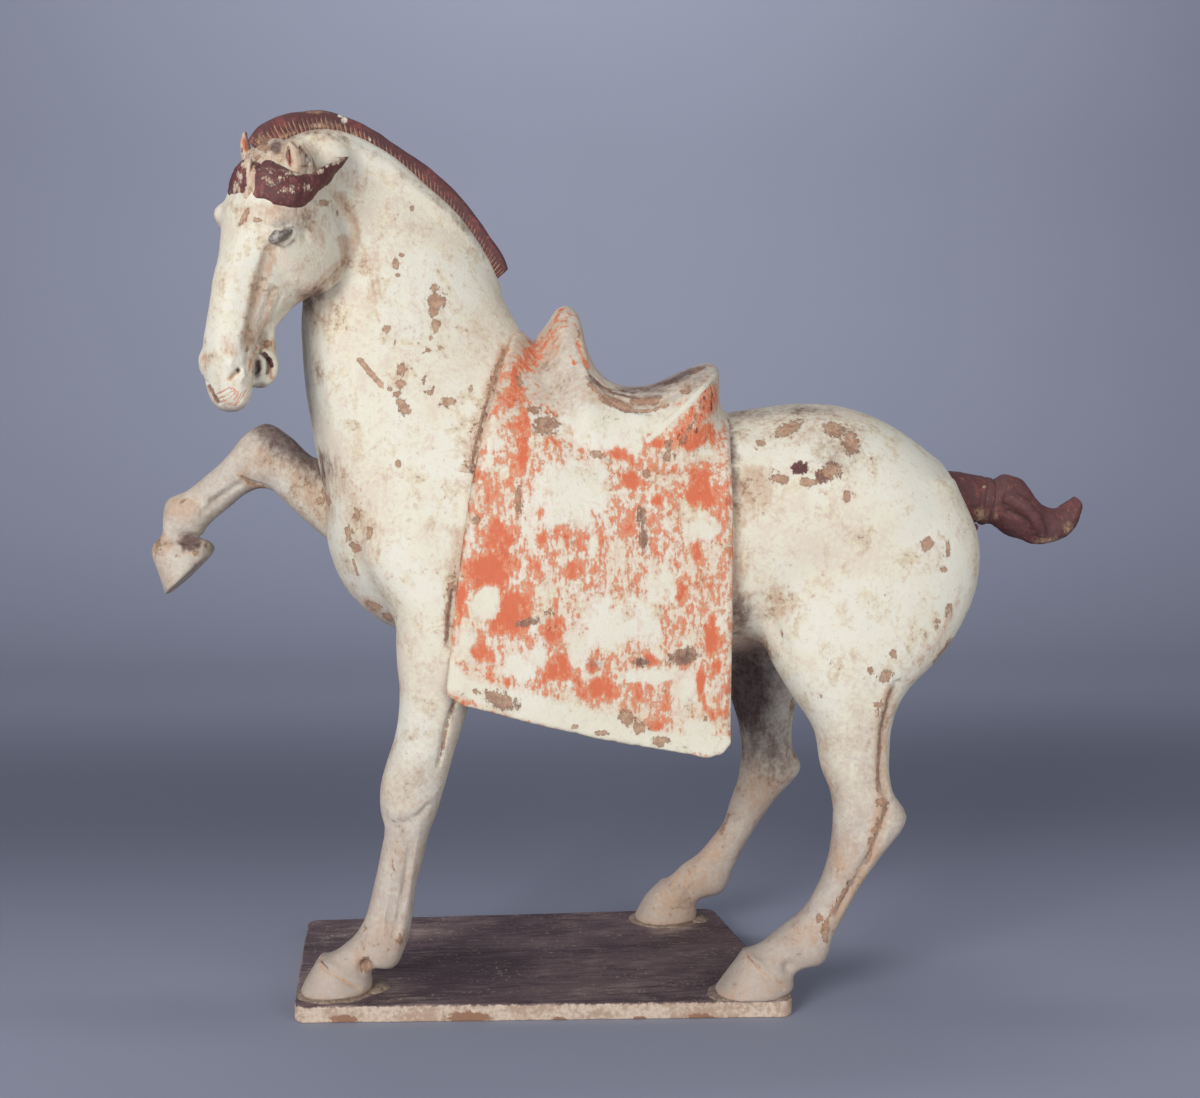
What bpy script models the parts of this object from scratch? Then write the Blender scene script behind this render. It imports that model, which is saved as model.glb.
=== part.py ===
"""A dancing horse of painted earthenware, standing on its base slab.

The horse faces -X, its left side is -Y and +Z is up. The origin is the middle of the slab's underside.
The horse is a free form. Its sections are drawn in millimetres, with the soles at DRAWN_SOLE, and the whole
drawing follows HORSE_HEIGHT.
"""

from math import cos, pi, radians, sin, tan

import bmesh
import bpy
import numpy as np
from mathutils import Matrix, Vector

# Driving sizes, in metres
HORSE_HEIGHT = 0.579       # soles of the hooves to the top of the mane
CLOTH_THICKNESS = 0.0048   # free flaps of the saddle cloth
MANE_THICKNESS = 0.0100    # hogged mane, side to side
SLAB_LENGTH = 0.336        # base slab, along the horse
SLAB_WIDTH = 0.202
SLAB_THICKNESS = 0.0115
SLAB_CORNER = 0.009        # radius of the slab's corners, in plan
SLAB_EDGE = 0.0012         # worn radius along the slab's edges
SEAT_GAP = 0.0003          # between the soles and the slab

# The drawn figure: the height of its soles, and their distance from the top of the mane
DRAWN_SOLE = 12.0
DRAWN_HEIGHT = 579.0
UNIT = HORSE_HEIGHT / DRAWN_HEIGHT

# How finely the clay is worked
GRAIN = 0.0022             # voxel that fuses the forms into one body
RING_POINTS = 32
RINGS_BETWEEN = 5
CLOTH_STATIONS = 28        # along the cloth
CLOTH_POINTS = 36          # from the middle of the back to the hem, on each side
FILLET_ROUNDS = 8
LIMB_FILLET_ROUNDS = 45    # where a limb grows out of the trunk
SLAB_CORNER_STEPS = 5
HORSE_TRIANGLES = 9300

# Pose of the head, which turns to the horse's left about an upright axis through the poll
HEAD_TURN = radians(45)
HEAD_X = -161.0
HEAD_Y = -56.0
HEAD_MIDDLE = (-160, -60, 485)
HEAD_REACH = 95.0
HEAD_CARE = 0.003

# A section is (front x, front z, back x, back z, centre y, half width, squareness, egg).
# Front is the throat, chest and belly side of the body, and the leading side of a leg.
BODY = [
    (-156, 514, -138, 570, -34, 14, 2.0, 0.1),
    (-149, 493, -116, 572, -26, 19, 2.0, 0.2),
    (-150, 474, -93, 562, -18, 24, 2.1, 0.3),
    (-152, 451, -70, 545, -12, 31, 2.1, 0.3),
    (-151.5, 425, -47, 524, -8, 39, 2.1, 0.3),
    (-148.5, 397, -28.5, 498, -5, 47, 2.2, 0.3),
    (-143.5, 366, -15, 471.5, -1, 55, 2.2, 0.25),
    (-138, 332, -0.5, 447.5, 0, 62, 2.2, 0.2),
    (-136, 300, 14, 432, 0, 69, 2.2, 0.15),
    (-123, 272, 32, 422, 0, 74, 2.2, 0.1),
    (-98, 249, 52, 412, 0, 78, 2.2, 0.05),
    (-40, 237, 75, 404, 0, 81, 2.2, 0.0),
    (30, 227, 100, 398, 0, 82, 2.2, 0.0),
    (95, 222, 125, 393, 0, 82, 2.2, 0.0),
    (147, 224, 152, 397.5, 0, 81, 2.2, 0.0),
    (185, 232, 185, 402, 0, 85, 2.2, 0.0),
    (222, 230, 220, 401, 0, 88, 2.2, 0.0),
    (254, 233, 250.5, 389.5, 0, 85, 2.2, 0.0),
    (279, 247, 276.5, 373.5, 0, 74, 2.1, 0.0),
    (295, 268, 294.5, 357.5, 0, 55, 2.0, 0.0),
    (305, 298, 306, 334, 0, 24, 2.0, 0.0),
]

NEAR_HIND_LEG = [
    (188, 345, 291, 350, -40, 36, 2.2, 0.0),
    (166, 300, 307, 305, -48, 39, 2.2, 0.0),
    (156, 262, 298, 262, -54, 37, 2.2, 0.0),
    (160, 232, 277.5, 232, -61, 33, 2.2, 0.0),
    (173, 208, 252, 208, -67, 28, 2.1, 0.0),
    (188, 184, 241, 186, -72, 22, 2.0, 0.0),
    (192, 160, 238, 162, -76, 18, 2.0, 0.0),
    (199, 140, 240, 143, -79, 16, 2.1, 0.0),
    (200, 119, 249, 125, -80, 16, 2.2, 0.0),
    (197, 99, 234.5, 104, -81, 15, 2.2, 0.0),
    (189.5, 80, 219, 83, -82, 12.5, 2.1, 0.0),
    (180.5, 66, 209, 66, -83, 12, 2.1, 0.0),
    (168.5, 56, 200, 49, -84, 13, 2.2, 0.0),
    (157, 48, 192, 30, -85, 14.5, 2.2, 0.0),
    (149, 43, 178, 27, -86, 13.5, 2.1, 0.0),
    (141, 40, 172, 24, -86, 16, 2.1, 0.0),
]

FAR_HIND_LEG = [
    (178, 345, 286, 350, 40, 36, 2.2, 0.0),
    (150, 300, 297, 305, 48, 39, 2.2, 0.0),
    (137, 262, 286, 262, 54, 37, 2.2, 0.0),
    (139, 232, 259, 232, 60, 33, 2.2, 0.0),
    (147, 208, 232, 208, 64, 27, 2.1, 0.0),
    (157, 184, 212, 186, 68, 21, 2.0, 0.0),
    (164.5, 160, 205, 162, 71, 17.5, 2.0, 0.0),
    (167, 143, 206, 144, 73, 16, 2.1, 0.0),
    (165, 121, 213, 127, 74, 16, 2.2, 0.0),
    (158.5, 101, 196, 107, 74, 15, 2.2, 0.0),
    (154, 85, 180.5, 85, 74, 12.5, 2.1, 0.0),
    (143.5, 71, 169.5, 66, 74, 12, 2.1, 0.0),
    (133.5, 60, 160.5, 49, 74, 13, 2.2, 0.0),
    (121, 52, 151.5, 31, 74, 14.5, 2.2, 0.0),
    (114.5, 46, 137, 27, 74, 13, 2.1, 0.0),
    (108, 41.5, 131.5, 24, 74, 16, 2.1, 0.0),
]

NEAR_FORELEG = [
    (-112, 345, -14, 340, -38, 34, 2.2, 0.0),
    (-112, 300, -16, 295, -46, 33, 2.3, 0.0),
    (-89.5, 262, -24, 258, -53, 29, 2.3, 0.0),
    (-88, 234, -32, 228, -56, 25, 2.2, 0.0),
    (-86, 208, -39, 204, -57, 21, 2.2, 0.0),
    (-88.5, 184, -46.5, 181, -58, 19, 2.2, 0.0),
    (-95, 163, -52.5, 161, -58, 18, 2.2, 0.0),
    (-99, 147, -57, 146, -58, 17.5, 2.3, 0.0),
    (-99, 131, -61.5, 130, -58, 16, 2.2, 0.0),
    (-96.5, 119, -67, 116, -58, 13.5, 2.1, 0.0),
    (-99, 103, -70, 102, -59, 12.5, 2.1, 0.0),
    (-104, 80, -75.5, 82, -59, 12, 2.1, 0.0),
    (-109, 61, -78, 62, -60, 12.5, 2.2, 0.0),
    (-117, 48, -83, 40, -60, 14.5, 2.2, 0.0),
    (-124, 42, -90, 27, -60, 14.5, 2.2, 0.0),
    (-130, 38, -104, 27, -60, 13, 2.1, 0.0),
    (-137, 35, -107, 21, -60, 16, 2.1, 0.0),
]

RAISED_FORELEG = [
    (-80, 352, -62, 262, 34, 30, 2.2, 0.0),
    (-106, 355, -96, 276, 42, 28, 2.2, 0.0),
    (-132, 361.5, -130, 295, 48, 23, 2.2, 0.0),
    (-153, 365.5, -152, 313, 51, 20, 2.2, 0.0),
    (-170, 380.5, -170, 330, 52, 18.5, 2.2, 0.0),
    (-186, 389, -182, 341, 53, 18, 2.3, 0.0),
    (-201, 381, -192, 342, 54, 17, 2.2, 0.0),
    (-212, 367.5, -202, 337.5, 54, 14, 2.1, 0.0),
    (-228, 352.5, -214, 328, 55, 12, 2.1, 0.0),
    (-243.5, 340.5, -225, 319, 55, 12.5, 2.1, 0.0),
    (-257.5, 332.5, -231, 312, 55, 14.5, 2.2, 0.0),
    (-261, 320, -238, 310, 55, 13, 2.1, 0.0),
    (-266, 309, -238, 309, 55, 14, 2.1, 0.0),
]

# Hooves: coronet, wall and sole
NEAR_HIND_HOOF = [
    (139, 41, 171, 23, -87, 16.5, 2.2, 0.1),
    (132, 30, 172, 16, -87, 19, 2.2, 0.1),
    (119, 12, 168, 12, -87, 21, 2.2, 0.1),
]
FAR_HIND_HOOF = [
    (106.5, 42, 131.5, 23, 74, 16.5, 2.2, 0.1),
    (93, 28, 132.5, 17, 74, 19, 2.2, 0.1),
    (84, 12, 132, 12, 74, 21, 2.2, 0.1),
]
NEAR_FORE_HOOF = [
    (-139, 36, -106, 22, -60, 17, 2.2, 0.1),
    (-146, 25, -105, 17, -60, 19.5, 2.2, 0.1),
    (-153, 12, -106, 12, -60, 21.5, 2.2, 0.1),
]
RAISED_HOOF = [
    (-263.5, 302, -229, 311.5, 55, 17, 2.2, 0.1),
    (-265, 284, -226.5, 303.5, 55, 20, 2.2, 0.1),
    (-257.5, 264.5, -226.5, 296.5, 55, 20, 2.2, 0.1),
]

# Head, lower jaw and tongue, drawn facing -X about the axis of the head's turn
HEAD = [
    (-5, 577, 16, 568, 0, 12, 2.0, 0.0),
    (-13, 567, 30, 552, 0, 20, 2.1, 0.0),
    (-20, 552, 40, 535, 0, 26, 2.2, 0.05),
    (-28, 538, 44, 521, 0, 29, 2.3, 0.08),
    (-34, 523, 43, 508, 0, 29, 2.4, 0.1),
    (-36.5, 509, 40, 494, 0, 27, 2.5, 0.08),
    (-40, 494, 34, 480.5, 0, 24, 2.5, 0.0),
    (-46, 479, 22.5, 470.5, 0, 20, 2.5, -0.05),
    (-49, 465, 5.5, 460, 0, 17.5, 2.5, -0.05),
    (-52, 448, -15, 447, 0, 16, 2.5, 0.0),
    (-53, 435, -24, 434, 0, 16, 2.4, 0.1),
    (-53, 421.5, -26.5, 420.5, 0, 17.5, 2.4, 0.05),
    (-50.5, 409, -28.5, 408, 0, 17.5, 2.3, 0.0),
    (-47, 399, -31, 399, 0, 14.5, 2.2, 0.0),
    (-42, 392.5, -35, 393, 0, 9, 2.0, 0.0),
]
LOWER_JAW = [
    (-20, 468, 12, 468.5, 0, 15, 2.3, 0.0),
    (-22, 456, 2, 455.5, 0, 13, 2.3, 0.0),
    (-21, 445, -9, 445, 0, 12, 2.3, 0.0),
    (-15, 436, -8, 435, 0, 12, 2.3, 0.0),
    (-14, 425, -9, 422.5, 0, 12.5, 2.3, 0.0),
    (-16, 418, -12.5, 411, 0, 12.5, 2.3, 0.0),
    (-21, 415, -20.5, 408, 0, 11, 2.2, 0.0),
    (-27, 415, -27.5, 409.5, 0, 7, 2.0, 0.0),
]
TONGUE = [
    (-23, 443, -16, 445, 0, 9, 2.0, 0.0),
    (-22, 430, -16.5, 430, 0, 9, 2.0, 0.0),
    (-21.5, 421, -17.5, 419, 0, 8, 2.0, 0.0),
    (-23, 417, -22.5, 414, 0, 5, 2.0, 0.0),
]
# Eggs of clay on both sides of the face: centre and radii of brow, eye, cheek and nostril
FACE = [
    ((-19, 22, 519), (13, 10, 9)),
    ((-14, 25.5, 500), (8, 4.5, 4.5)),
    ((9, 19, 499), (31, 10, 32)),
    ((-44, 12, 423), (10, 7.5, 10)),
]

# The clay that joins the ears to the mane, and the hair and ears round it
POLL = (-147, -53, 557)
POLL_RADII = (18, 13, 14)
NEAR_FORELOCK = [
    (-184, 549, -185, 527, -72, 7, 2.4, 0.0),
    (-175, 549, -174, 525, -77, 8, 2.6, 0.0),
    (-162, 548, -163, 524, -81, 8.5, 2.6, 0.0),
    (-150, 543, -151, 521, -81, 9, 2.6, 0.0),
    (-141, 543, -141, 521, -75, 9, 2.6, 0.0),
    (-131, 549, -133, 533, -63, 8, 2.6, 0.0),
    (-124, 554, -126, 544, -53, 7, 2.4, 0.0),
    (-117, 560, -118, 557, -46, 4, 2.0, 0.0),
]
FAR_FORELOCK = [
    (-182, 554, -185, 531, -62, 7, 2.0, 0.0),
    (-186, 553, -194.5, 531, -53, 7, 2.0, 0.0),
    (-183, 553, -187, 532, -42, 6, 2.0, 0.0),
]
NEAR_EAR = [
    (-155, 547, -137, 540, -70, 9, 2.2, 0.0),
    (-155, 554, -137, 550, -73, 8.5, 2.2, 0.0),
    (-154, 560, -143, 557, -76, 6, 2.0, 0.0),
    (-150, 565, -147, 563, -78, 3, 2.0, 0.0),
]
FAR_EAR = [
    (-181, 549, -170, 551, -44, 6, 2.0, 0.0),
    (-183.5, 561, -174, 562, -44, 5, 2.0, 0.0),
    (-185.5, 570, -176, 571, -45, 4, 2.0, 0.0),
    (-185, 576, -180, 577, -45, 2.5, 2.0, 0.0),
]

# The hogged mane: outer x, outer z, root x, root z, centre y
MANE = [
    (-178, 577, -167, 560, -52),
    (-170.5, 581.5, -158, 563, -50),
    (-156, 588.5, -145, 566, -45),
    (-136, 591, -129, 568, -38),
    (-120, 589, -114, 564, -31),
    (-104, 583, -97, 556, -25),
    (-85, 572, -79, 543, -18),
    (-64, 559, -62, 527, -12),
    (-43.5, 540.5, -47, 508, -7),
    (-25, 516.5, -34, 494, -4),
    (-11.5, 495.5, -26, 484, -2),
]

# The saddle, from the front of its pommel to the back of its cantle
SADDLE = [
    (7, 448, 22, 300, 0, 50, 2.0, 0.0),
    (14.5, 457.5, 28, 300, 0, 60, 1.8, 0.0),
    (21, 467.5, 33, 300, 0, 68, 1.6, 0.0),
    (29, 470.5, 37, 300, 0, 74, 1.5, 0.0),
    (35.5, 465, 40, 300, 0, 76, 1.55, 0.0),
    (39.5, 446, 42, 300, 0, 77, 1.75, 0.0),
    (46, 427.5, 44, 300, 0, 77, 1.95, 0.0),
    (57, 416, 46, 300, 0, 76, 2.15, 0.0),
    (78, 413, 49, 300, 0, 76, 2.3, 0.0),
    (96, 418.5, 52, 300, 0, 76, 2.4, 0.0),
    (112, 426, 55, 300, 0, 77, 2.4, 0.0),
    (127, 430, 58, 300, 0, 78, 2.4, 0.0),
    (131.5, 427, 63, 300, 0, 77, 2.4, 0.0),
    (131.5, 414, 78, 300, 0, 75, 2.4, 0.0),
    (131.5, 404, 98, 300, 0, 73, 2.4, 0.0),
    (133, 395, 118, 300, 0, 72, 2.4, 0.0),
]

TAIL = [
    (286, 353, 290, 312, 0, 18, 2.0, 0.0),
    (308, 355, 309, 316, 0, 15, 2.0, 0.0),
    (322, 352, 322, 317.5, 0, 13.5, 2.0, 0.0),
    (330, 351, 329, 316, 0, 14, 2.0, 0.0),
    (336, 350, 334, 317, 0, 13, 2.0, 0.0),
    (342, 352, 338, 314, 0, 16, 2.0, 0.0),
    (353, 350, 346, 309, 0, 17, 2.0, 0.0),
    (362.5, 341, 356, 305.5, 0, 14, 2.0, 0.0),
    (371, 331, 369, 302, 0, 11.5, 2.0, 0.0),
    (382, 328, 386, 306, 0, 9.5, 2.0, 0.0),
    (390, 334, 397.5, 316, 0, 8, 2.0, 0.0),
    (396, 337, 401, 329, 0, 6, 2.0, 0.0),
]

# The slab's corners, as shares of half its length and half its width
SLAB_CORNERS = [
    (-0.917, -0.861),
    (1.018, -1.040),
    (0.887, 0.960),
    (-0.982, 0.931),
]

# Where the limbs grow out of the trunk: x, y, z and reach
LIMB_ROOTS = [
    (185, -78, 275, 65),
    (172, 78, 275, 65),
    (-118, 48, 305, 42),
    (-85, -60, 255, 48),
]

# Grooves worked into both sides of the head: their path in the head's frame, width and depth
HEAD_GROOVES = [
    ([(-25, 24, 495), (-19, 28, 493), (-9, 29, 495)], 2.8, 1.6),
    ([(-24, 24, 500), (-15, 29, 507), (-4, 30, 502)], 2.8, 2.0),
    ([(-27, 24, 497), (-32, 20, 478), (-37, 17, 455), (-37, 15, 440)], 3.5, 2.0),
    ([(-12, 28, 488), (-20, 22, 472), (-25, 15, 456)], 3.5, 1.5),
    ([(-50, 12, 417), (-46, 17, 424)], 3.5, 3.5),
    ([(-31, 13, 445), (-29, 12, 436), (-29, 10, 424)], 2.5, 2.0),
]

# The saddle cloth's edges: x of the front and the rear at each height, and height of the hem at each x
CLOTH_FRONT_Z = [205, 215, 240, 292, 346, 388, 421, 446, 460]
CLOTH_FRONT_X = [-54, -55, -52, -47, -39, -29, -19, -10, -7]
CLOTH_REAR_Z = [170, 356, 385, 400]
CLOTH_REAR_X = [129.5, 131, 134.5, 142]
HEM_X = [-60, -53, -44, -8, 43, 81, 114, 123, 129]
HEM_Z = [214, 209.5, 204, 195, 182, 175, 168.5, 171, 178]
CLOTH_SPINE_X = [-10, -6, 4, 14, 32, 52, 75, 100, 125, 145]
CLOTH_SPINE_Z = [456, 454, 446, 438, 428, 418, 410, 404, 399, 399]
CLOTH_SPINE_START = -8.0
CLOTH_SPINE_RUN = 150.0
CLOTH_HEM_START = -55.0
CLOTH_HEM_RUN = 184.0
CLOTH_SHARES = [0.0, 0.3, 1.0]
CLOTH_HALF_WIDTHS = [80, 87, 88]
HEM_HALF_WIDTHS = [86, 91, 92]
CLOTH_WIDEST_Z = 318.0     # the cloth hangs free below this height
CLOTH_LAP = 12.0           # depth that it is bedded into the back, above that height
CLOTH_WAIST = 0.5          # share of the way to the hem at which it starts to hang
CLOTH_FLATNESS = 0.92      # 1 for a round back, less for a squarer one


def place(x, y, z):
    """A point of the drawn figure, in metres, with its soles over the slab."""
    return Vector((x * UNIT, y * UNIT, (z - DRAWN_SOLE) * UNIT + SLAB_THICKNESS + SEAT_GAP))


def smooth_rows(rows):
    """Rows of numbers, with others read between them from a smooth curve through them all."""
    rows = np.array(rows, float)
    centres = np.stack([rows[:, 0] + rows[:, 2], rows[:, 1] + rows[:, 3]], 1) / 2
    steps = np.maximum(np.linalg.norm(np.diff(centres, axis=0), axis=1), 1.0)
    slopes = np.gradient(rows, np.concatenate([[0.0], np.cumsum(steps)]), axis=0)
    found = [rows[0]]
    for i, step in enumerate(steps):
        for t in np.arange(1, RINGS_BETWEEN + 1) / RINGS_BETWEEN:
            found.append(
                rows[i] * (2 * t**3 - 3 * t**2 + 1)
                + rows[i + 1] * (3 * t**2 - 2 * t**3)
                + slopes[i] * step * (t**3 - 2 * t**2 + t)
                + slopes[i + 1] * step * (t**3 - t**2)
            )
    return found


def bridge(form, rings):
    """Walls between the rings, one after the other, with both ends closed."""
    rows = [[form.verts.new(point) for point in ring] for ring in rings]
    count = len(rows[0])
    for low, high in zip(rows, rows[1:]):
        for j in range(count):
            k = (j + 1) % count
            form.faces.new((low[j], low[k], high[k], high[j]))
    form.faces.new(rows[0][::-1])
    form.faces.new(rows[-1])


def power(value, exponent):
    return np.sign(value) * abs(value) ** exponent


def loft(form, sections, turn=Matrix()):
    """A closed form through the sections, turned as the head is where turn is given."""
    rings = []
    for fx, fz, bx, bz, y, half_width, square, egg in smooth_rows(sections):
        ring = []
        for j in range(RING_POINTS):
            angle = 2 * pi * j / RING_POINTS
            along = power(cos(angle), 2 / square)
            across = power(sin(angle), 2 / square) * (1 + egg * along)
            x = (fx + bx) / 2 + along * (fx - bx) / 2
            z = (fz + bz) / 2 + along * (fz - bz) / 2
            ring.append(place(*(turn @ Vector((x, y + across * half_width, z)))))
        rings.append(ring)
    bridge(form, rings)


def pebble(form, centre, radii, turn=Matrix()):
    """An egg of clay pressed onto the form."""
    local = turn @ Matrix.Translation(centre) @ Matrix.Diagonal((*radii, 1.0))
    made = bmesh.ops.create_icosphere(form, subdivisions=3, radius=1.0)
    for vert in made["verts"]:
        vert.co = place(*(local @ vert.co))


def head_frame():
    """The head's own frame, in the drawn figure's."""
    return Matrix.Translation((HEAD_X, HEAD_Y, 0)) @ Matrix.Rotation(HEAD_TURN, 4, "Z")


def build_head(form):
    turn = head_frame()
    for sections in (HEAD, LOWER_JAW, TONGUE):
        loft(form, sections, turn)
    for (x, y, z), radii in FACE:
        for side in (-1, 1):
            pebble(form, (x, side * y, z), radii, turn)
    for sections in (NEAR_FORELOCK, FAR_FORELOCK, NEAR_EAR, FAR_EAR):
        loft(form, sections)
    pebble(form, POLL, POLL_RADII)


def build_mane(form):
    half = MANE_THICKNESS / UNIT / 2
    loft(form, [(*row, half, 3.0, 0.0) for row in MANE])


def cloth_point(station, reach, side, thinner):
    """A point of the saddle cloth, at a share of its length and of the way from the back to the hem."""
    spine_x = CLOTH_SPINE_START + station * CLOTH_SPINE_RUN
    top = np.interp(spine_x, CLOTH_SPINE_X, CLOTH_SPINE_Z) - thinner * CLOTH_LAP
    widest = np.interp(station, CLOTH_SHARES, CLOTH_HALF_WIDTHS)
    hem_y = np.interp(station, CLOTH_SHARES, HEM_HALF_WIDTHS)
    if reach < CLOTH_WAIST:
        angle = reach / CLOTH_WAIST * pi / 2
        y = (widest - thinner * CLOTH_LAP) * power(sin(angle), CLOTH_FLATNESS)
        z = CLOTH_WIDEST_Z + (top - CLOTH_WIDEST_Z) * power(cos(angle), CLOTH_FLATNESS)
    else:
        fall = (reach - CLOTH_WAIST) / (1 - CLOTH_WAIST)
        free = CLOTH_THICKNESS / UNIT
        inset = thinner * (free + (CLOTH_LAP - free) * max(0, 1 - 3 * fall))
        y = widest + (hem_y - widest) * fall - inset
        hem_x = CLOTH_HEM_START + station * CLOTH_HEM_RUN
        z = CLOTH_WIDEST_Z + (np.interp(hem_x, HEM_X, HEM_Z) - CLOTH_WIDEST_Z) * fall
    front = np.interp(z, CLOTH_FRONT_Z, CLOTH_FRONT_X)
    rear = np.interp(z, CLOTH_REAR_Z, CLOTH_REAR_X)
    return place(front + (rear - front) * station, side * y, z)


def build_cloth(form):
    """The saddle cloth: an arch over the back with a free flap below it on each side."""
    rings = []
    for i in range(CLOTH_STATIONS + 1):
        station = i / CLOTH_STATIONS
        reaches = [j / CLOTH_POINTS for j in range(-CLOTH_POINTS, CLOTH_POINTS + 1)]
        outer = [cloth_point(station, abs(r), 1 if r > 0 else -1, 0) for r in reaches]
        inner = [cloth_point(station, abs(r), 1 if r > 0 else -1, 1) for r in reaches]
        rings.append(outer + inner[::-1])
    bridge(form, rings)


def build_form():
    form = bmesh.new()
    for sections in (
        BODY,
        NEAR_HIND_LEG,
        FAR_HIND_LEG,
        NEAR_FORELEG,
        RAISED_FORELEG,
        NEAR_HIND_HOOF,
        FAR_HIND_HOOF,
        NEAR_FORE_HOOF,
        RAISED_HOOF,
        SADDLE,
        TAIL,
    ):
        loft(form, sections)
    build_head(form)
    build_mane(form)
    build_cloth(form)
    bmesh.ops.recalc_face_normals(form, faces=form.faces)
    return form


def to_object(name, form):
    mesh = bpy.data.meshes.new(name)
    form.to_mesh(mesh)
    form.free()
    obj = bpy.data.objects.new(name, mesh)
    bpy.context.collection.objects.link(obj)
    return obj


def settle(obj):
    """The object's mesh as its modifiers leave it, with the modifiers gone."""
    mesh = bpy.data.meshes.new_from_object(obj.evaluated_get(bpy.context.evaluated_depsgraph_get()))
    obj.modifiers.clear()
    obj.data = mesh
    return mesh


def read(mesh):
    points = np.empty(len(mesh.vertices) * 3)
    normals = np.empty(len(mesh.vertices) * 3)
    mesh.vertices.foreach_get("co", points)
    mesh.vertices.foreach_get("normal", normals)
    return points.reshape(-1, 3), normals.reshape(-1, 3)


def write(mesh, points):
    mesh.vertices.foreach_set("co", points.ravel())
    mesh.update()


def round_creases(mesh):
    """Clay fillets: hollows are filled where the forms meet, and other edges are only eased."""
    edges = np.empty(len(mesh.edges) * 2, int)
    mesh.edges.foreach_get("vertices", edges)
    a, b = edges.reshape(-1, 2).T
    degree = np.bincount(np.concatenate([a, b]), minlength=len(mesh.vertices))[:, None]
    points, _ = read(mesh)
    limb = np.zeros((len(points), 1), bool)
    for *middle, reach in LIMB_ROOTS:
        limb[:, 0] |= np.linalg.norm(points - np.array(place(*middle)), axis=1) < reach * UNIT
    for done in range(LIMB_FILLET_ROUNDS):
        points, normals = read(mesh)
        total = np.zeros_like(points)
        for axis in range(3):
            total[:, axis] = np.bincount(a, points[b, axis], len(points)) + np.bincount(b, points[a, axis], len(points))
        pull = total / degree - points
        hollow = (pull * normals).sum(1, keepdims=True)
        strength = np.where(hollow > 0, 0.8, 0.12)
        working = limb | (done < FILLET_ROUNDS)
        write(mesh, points + working * strength * pull)


def rounded_outline(corners, radius, steps):
    """The outline through the corners, each rounded by an arc that touches both of its sides."""
    outline = []
    for i, corner in enumerate(corners):
        to_last = (corners[i - 1] - corner).normalized()
        to_next = (corners[(i + 1) % len(corners)] - corner).normalized()
        half = to_last.angle(to_next) / 2
        middle = corner + (to_last + to_next).normalized() * radius / sin(half)
        start = corner + to_last * radius / tan(half) - middle
        sweep = pi - 2 * half
        for j in range(steps + 1):
            outline.append(middle + Matrix.Rotation(sweep * j / steps, 2) @ start)
    return outline


def groove(points, normals, path, width, depth):
    """The points, pressed in by the depth along the path."""
    distance = np.full(len(points), np.inf)
    for start, end in zip(path, path[1:]):
        along = end - start
        share = np.clip((points - start) @ along / (along @ along), 0, 1)
        distance = np.minimum(distance, np.linalg.norm(points - start - share[:, None] * along, axis=1))
    return points - normals * (depth * np.exp(-((distance / width) ** 2)))[:, None]


def carve_head(mesh):
    turn = head_frame()
    for path, width, depth in HEAD_GROOVES:
        for side in (-1, 1):
            points, normals = read(mesh)
            placed = [np.array(place(*(turn @ Vector((x, side * y, z))))) for x, y, z in path]
            write(mesh, groove(points, normals, placed, width * UNIT, depth * UNIT))


def build_slab():
    corners = [Vector((x * SLAB_LENGTH / 2, y * SLAB_WIDTH / 2)) for x, y in SLAB_CORNERS]
    form = bmesh.new()
    rings = []
    for z in (0.0, SLAB_THICKNESS):
        rings.append([(*point, z) for point in rounded_outline(corners, SLAB_CORNER, SLAB_CORNER_STEPS)])
    bridge(form, rings)
    bmesh.ops.recalc_face_normals(form, faces=form.faces)
    slab = to_object("base_slab", form)
    worn = slab.modifiers.new("worn edges", "BEVEL")
    worn.width = SLAB_EDGE
    worn.segments = 2
    worn.limit_method = "ANGLE"
    worn.angle_limit = radians(60)
    slab.data.materials.append(clay("slab clay", (0.235, 0.195, 0.175), 0.9))


def clay(name, colour, roughness):
    material = bpy.data.materials.new(name)
    material.use_nodes = True
    shader = material.node_tree.nodes["Principled BSDF"]
    shader.inputs["Base Color"].default_value = (*colour, 1.0)
    shader.inputs["Roughness"].default_value = roughness
    shader.inputs["Metallic"].default_value = 0.0
    return material


def build_horse():
    horse = to_object("horse", build_form())
    fuse = horse.modifiers.new("fuse", "REMESH")
    fuse.mode = "VOXEL"
    fuse.voxel_size = GRAIN
    mesh = settle(horse)
    round_creases(mesh)
    carve_head(mesh)
    points, _ = read(mesh)
    head = np.linalg.norm(points - np.array(place(*HEAD_MIDDLE)), axis=1) < HEAD_REACH * UNIT
    coarse = horse.vertex_groups.new(name="coarse")
    coarse.add(np.nonzero(~head)[0].tolist(), 1.0, "REPLACE")
    coarse.add(np.nonzero(head)[0].tolist(), 0.5, "REPLACE")
    thin = horse.modifiers.new("thin", "DECIMATE")
    thin.vertex_group = coarse.name
    thin.vertex_group_factor = HEAD_CARE
    thin.ratio = HORSE_TRIANGLES / (2 * len(mesh.vertices))
    mesh.shade_smooth()
    mesh.materials.clear()
    mesh.materials.append(clay("painted clay", (0.72, 0.65, 0.52), 0.75))


def main():
    for obj in list(bpy.data.objects):
        bpy.data.objects.remove(obj)
    build_slab()
    build_horse()


main()
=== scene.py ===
from math import cos, pi, radians, sin, tan

import bmesh
import bpy
import numpy as np
from mathutils import Matrix, Vector, noise
from mathutils.bvhtree import BVHTree


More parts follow.
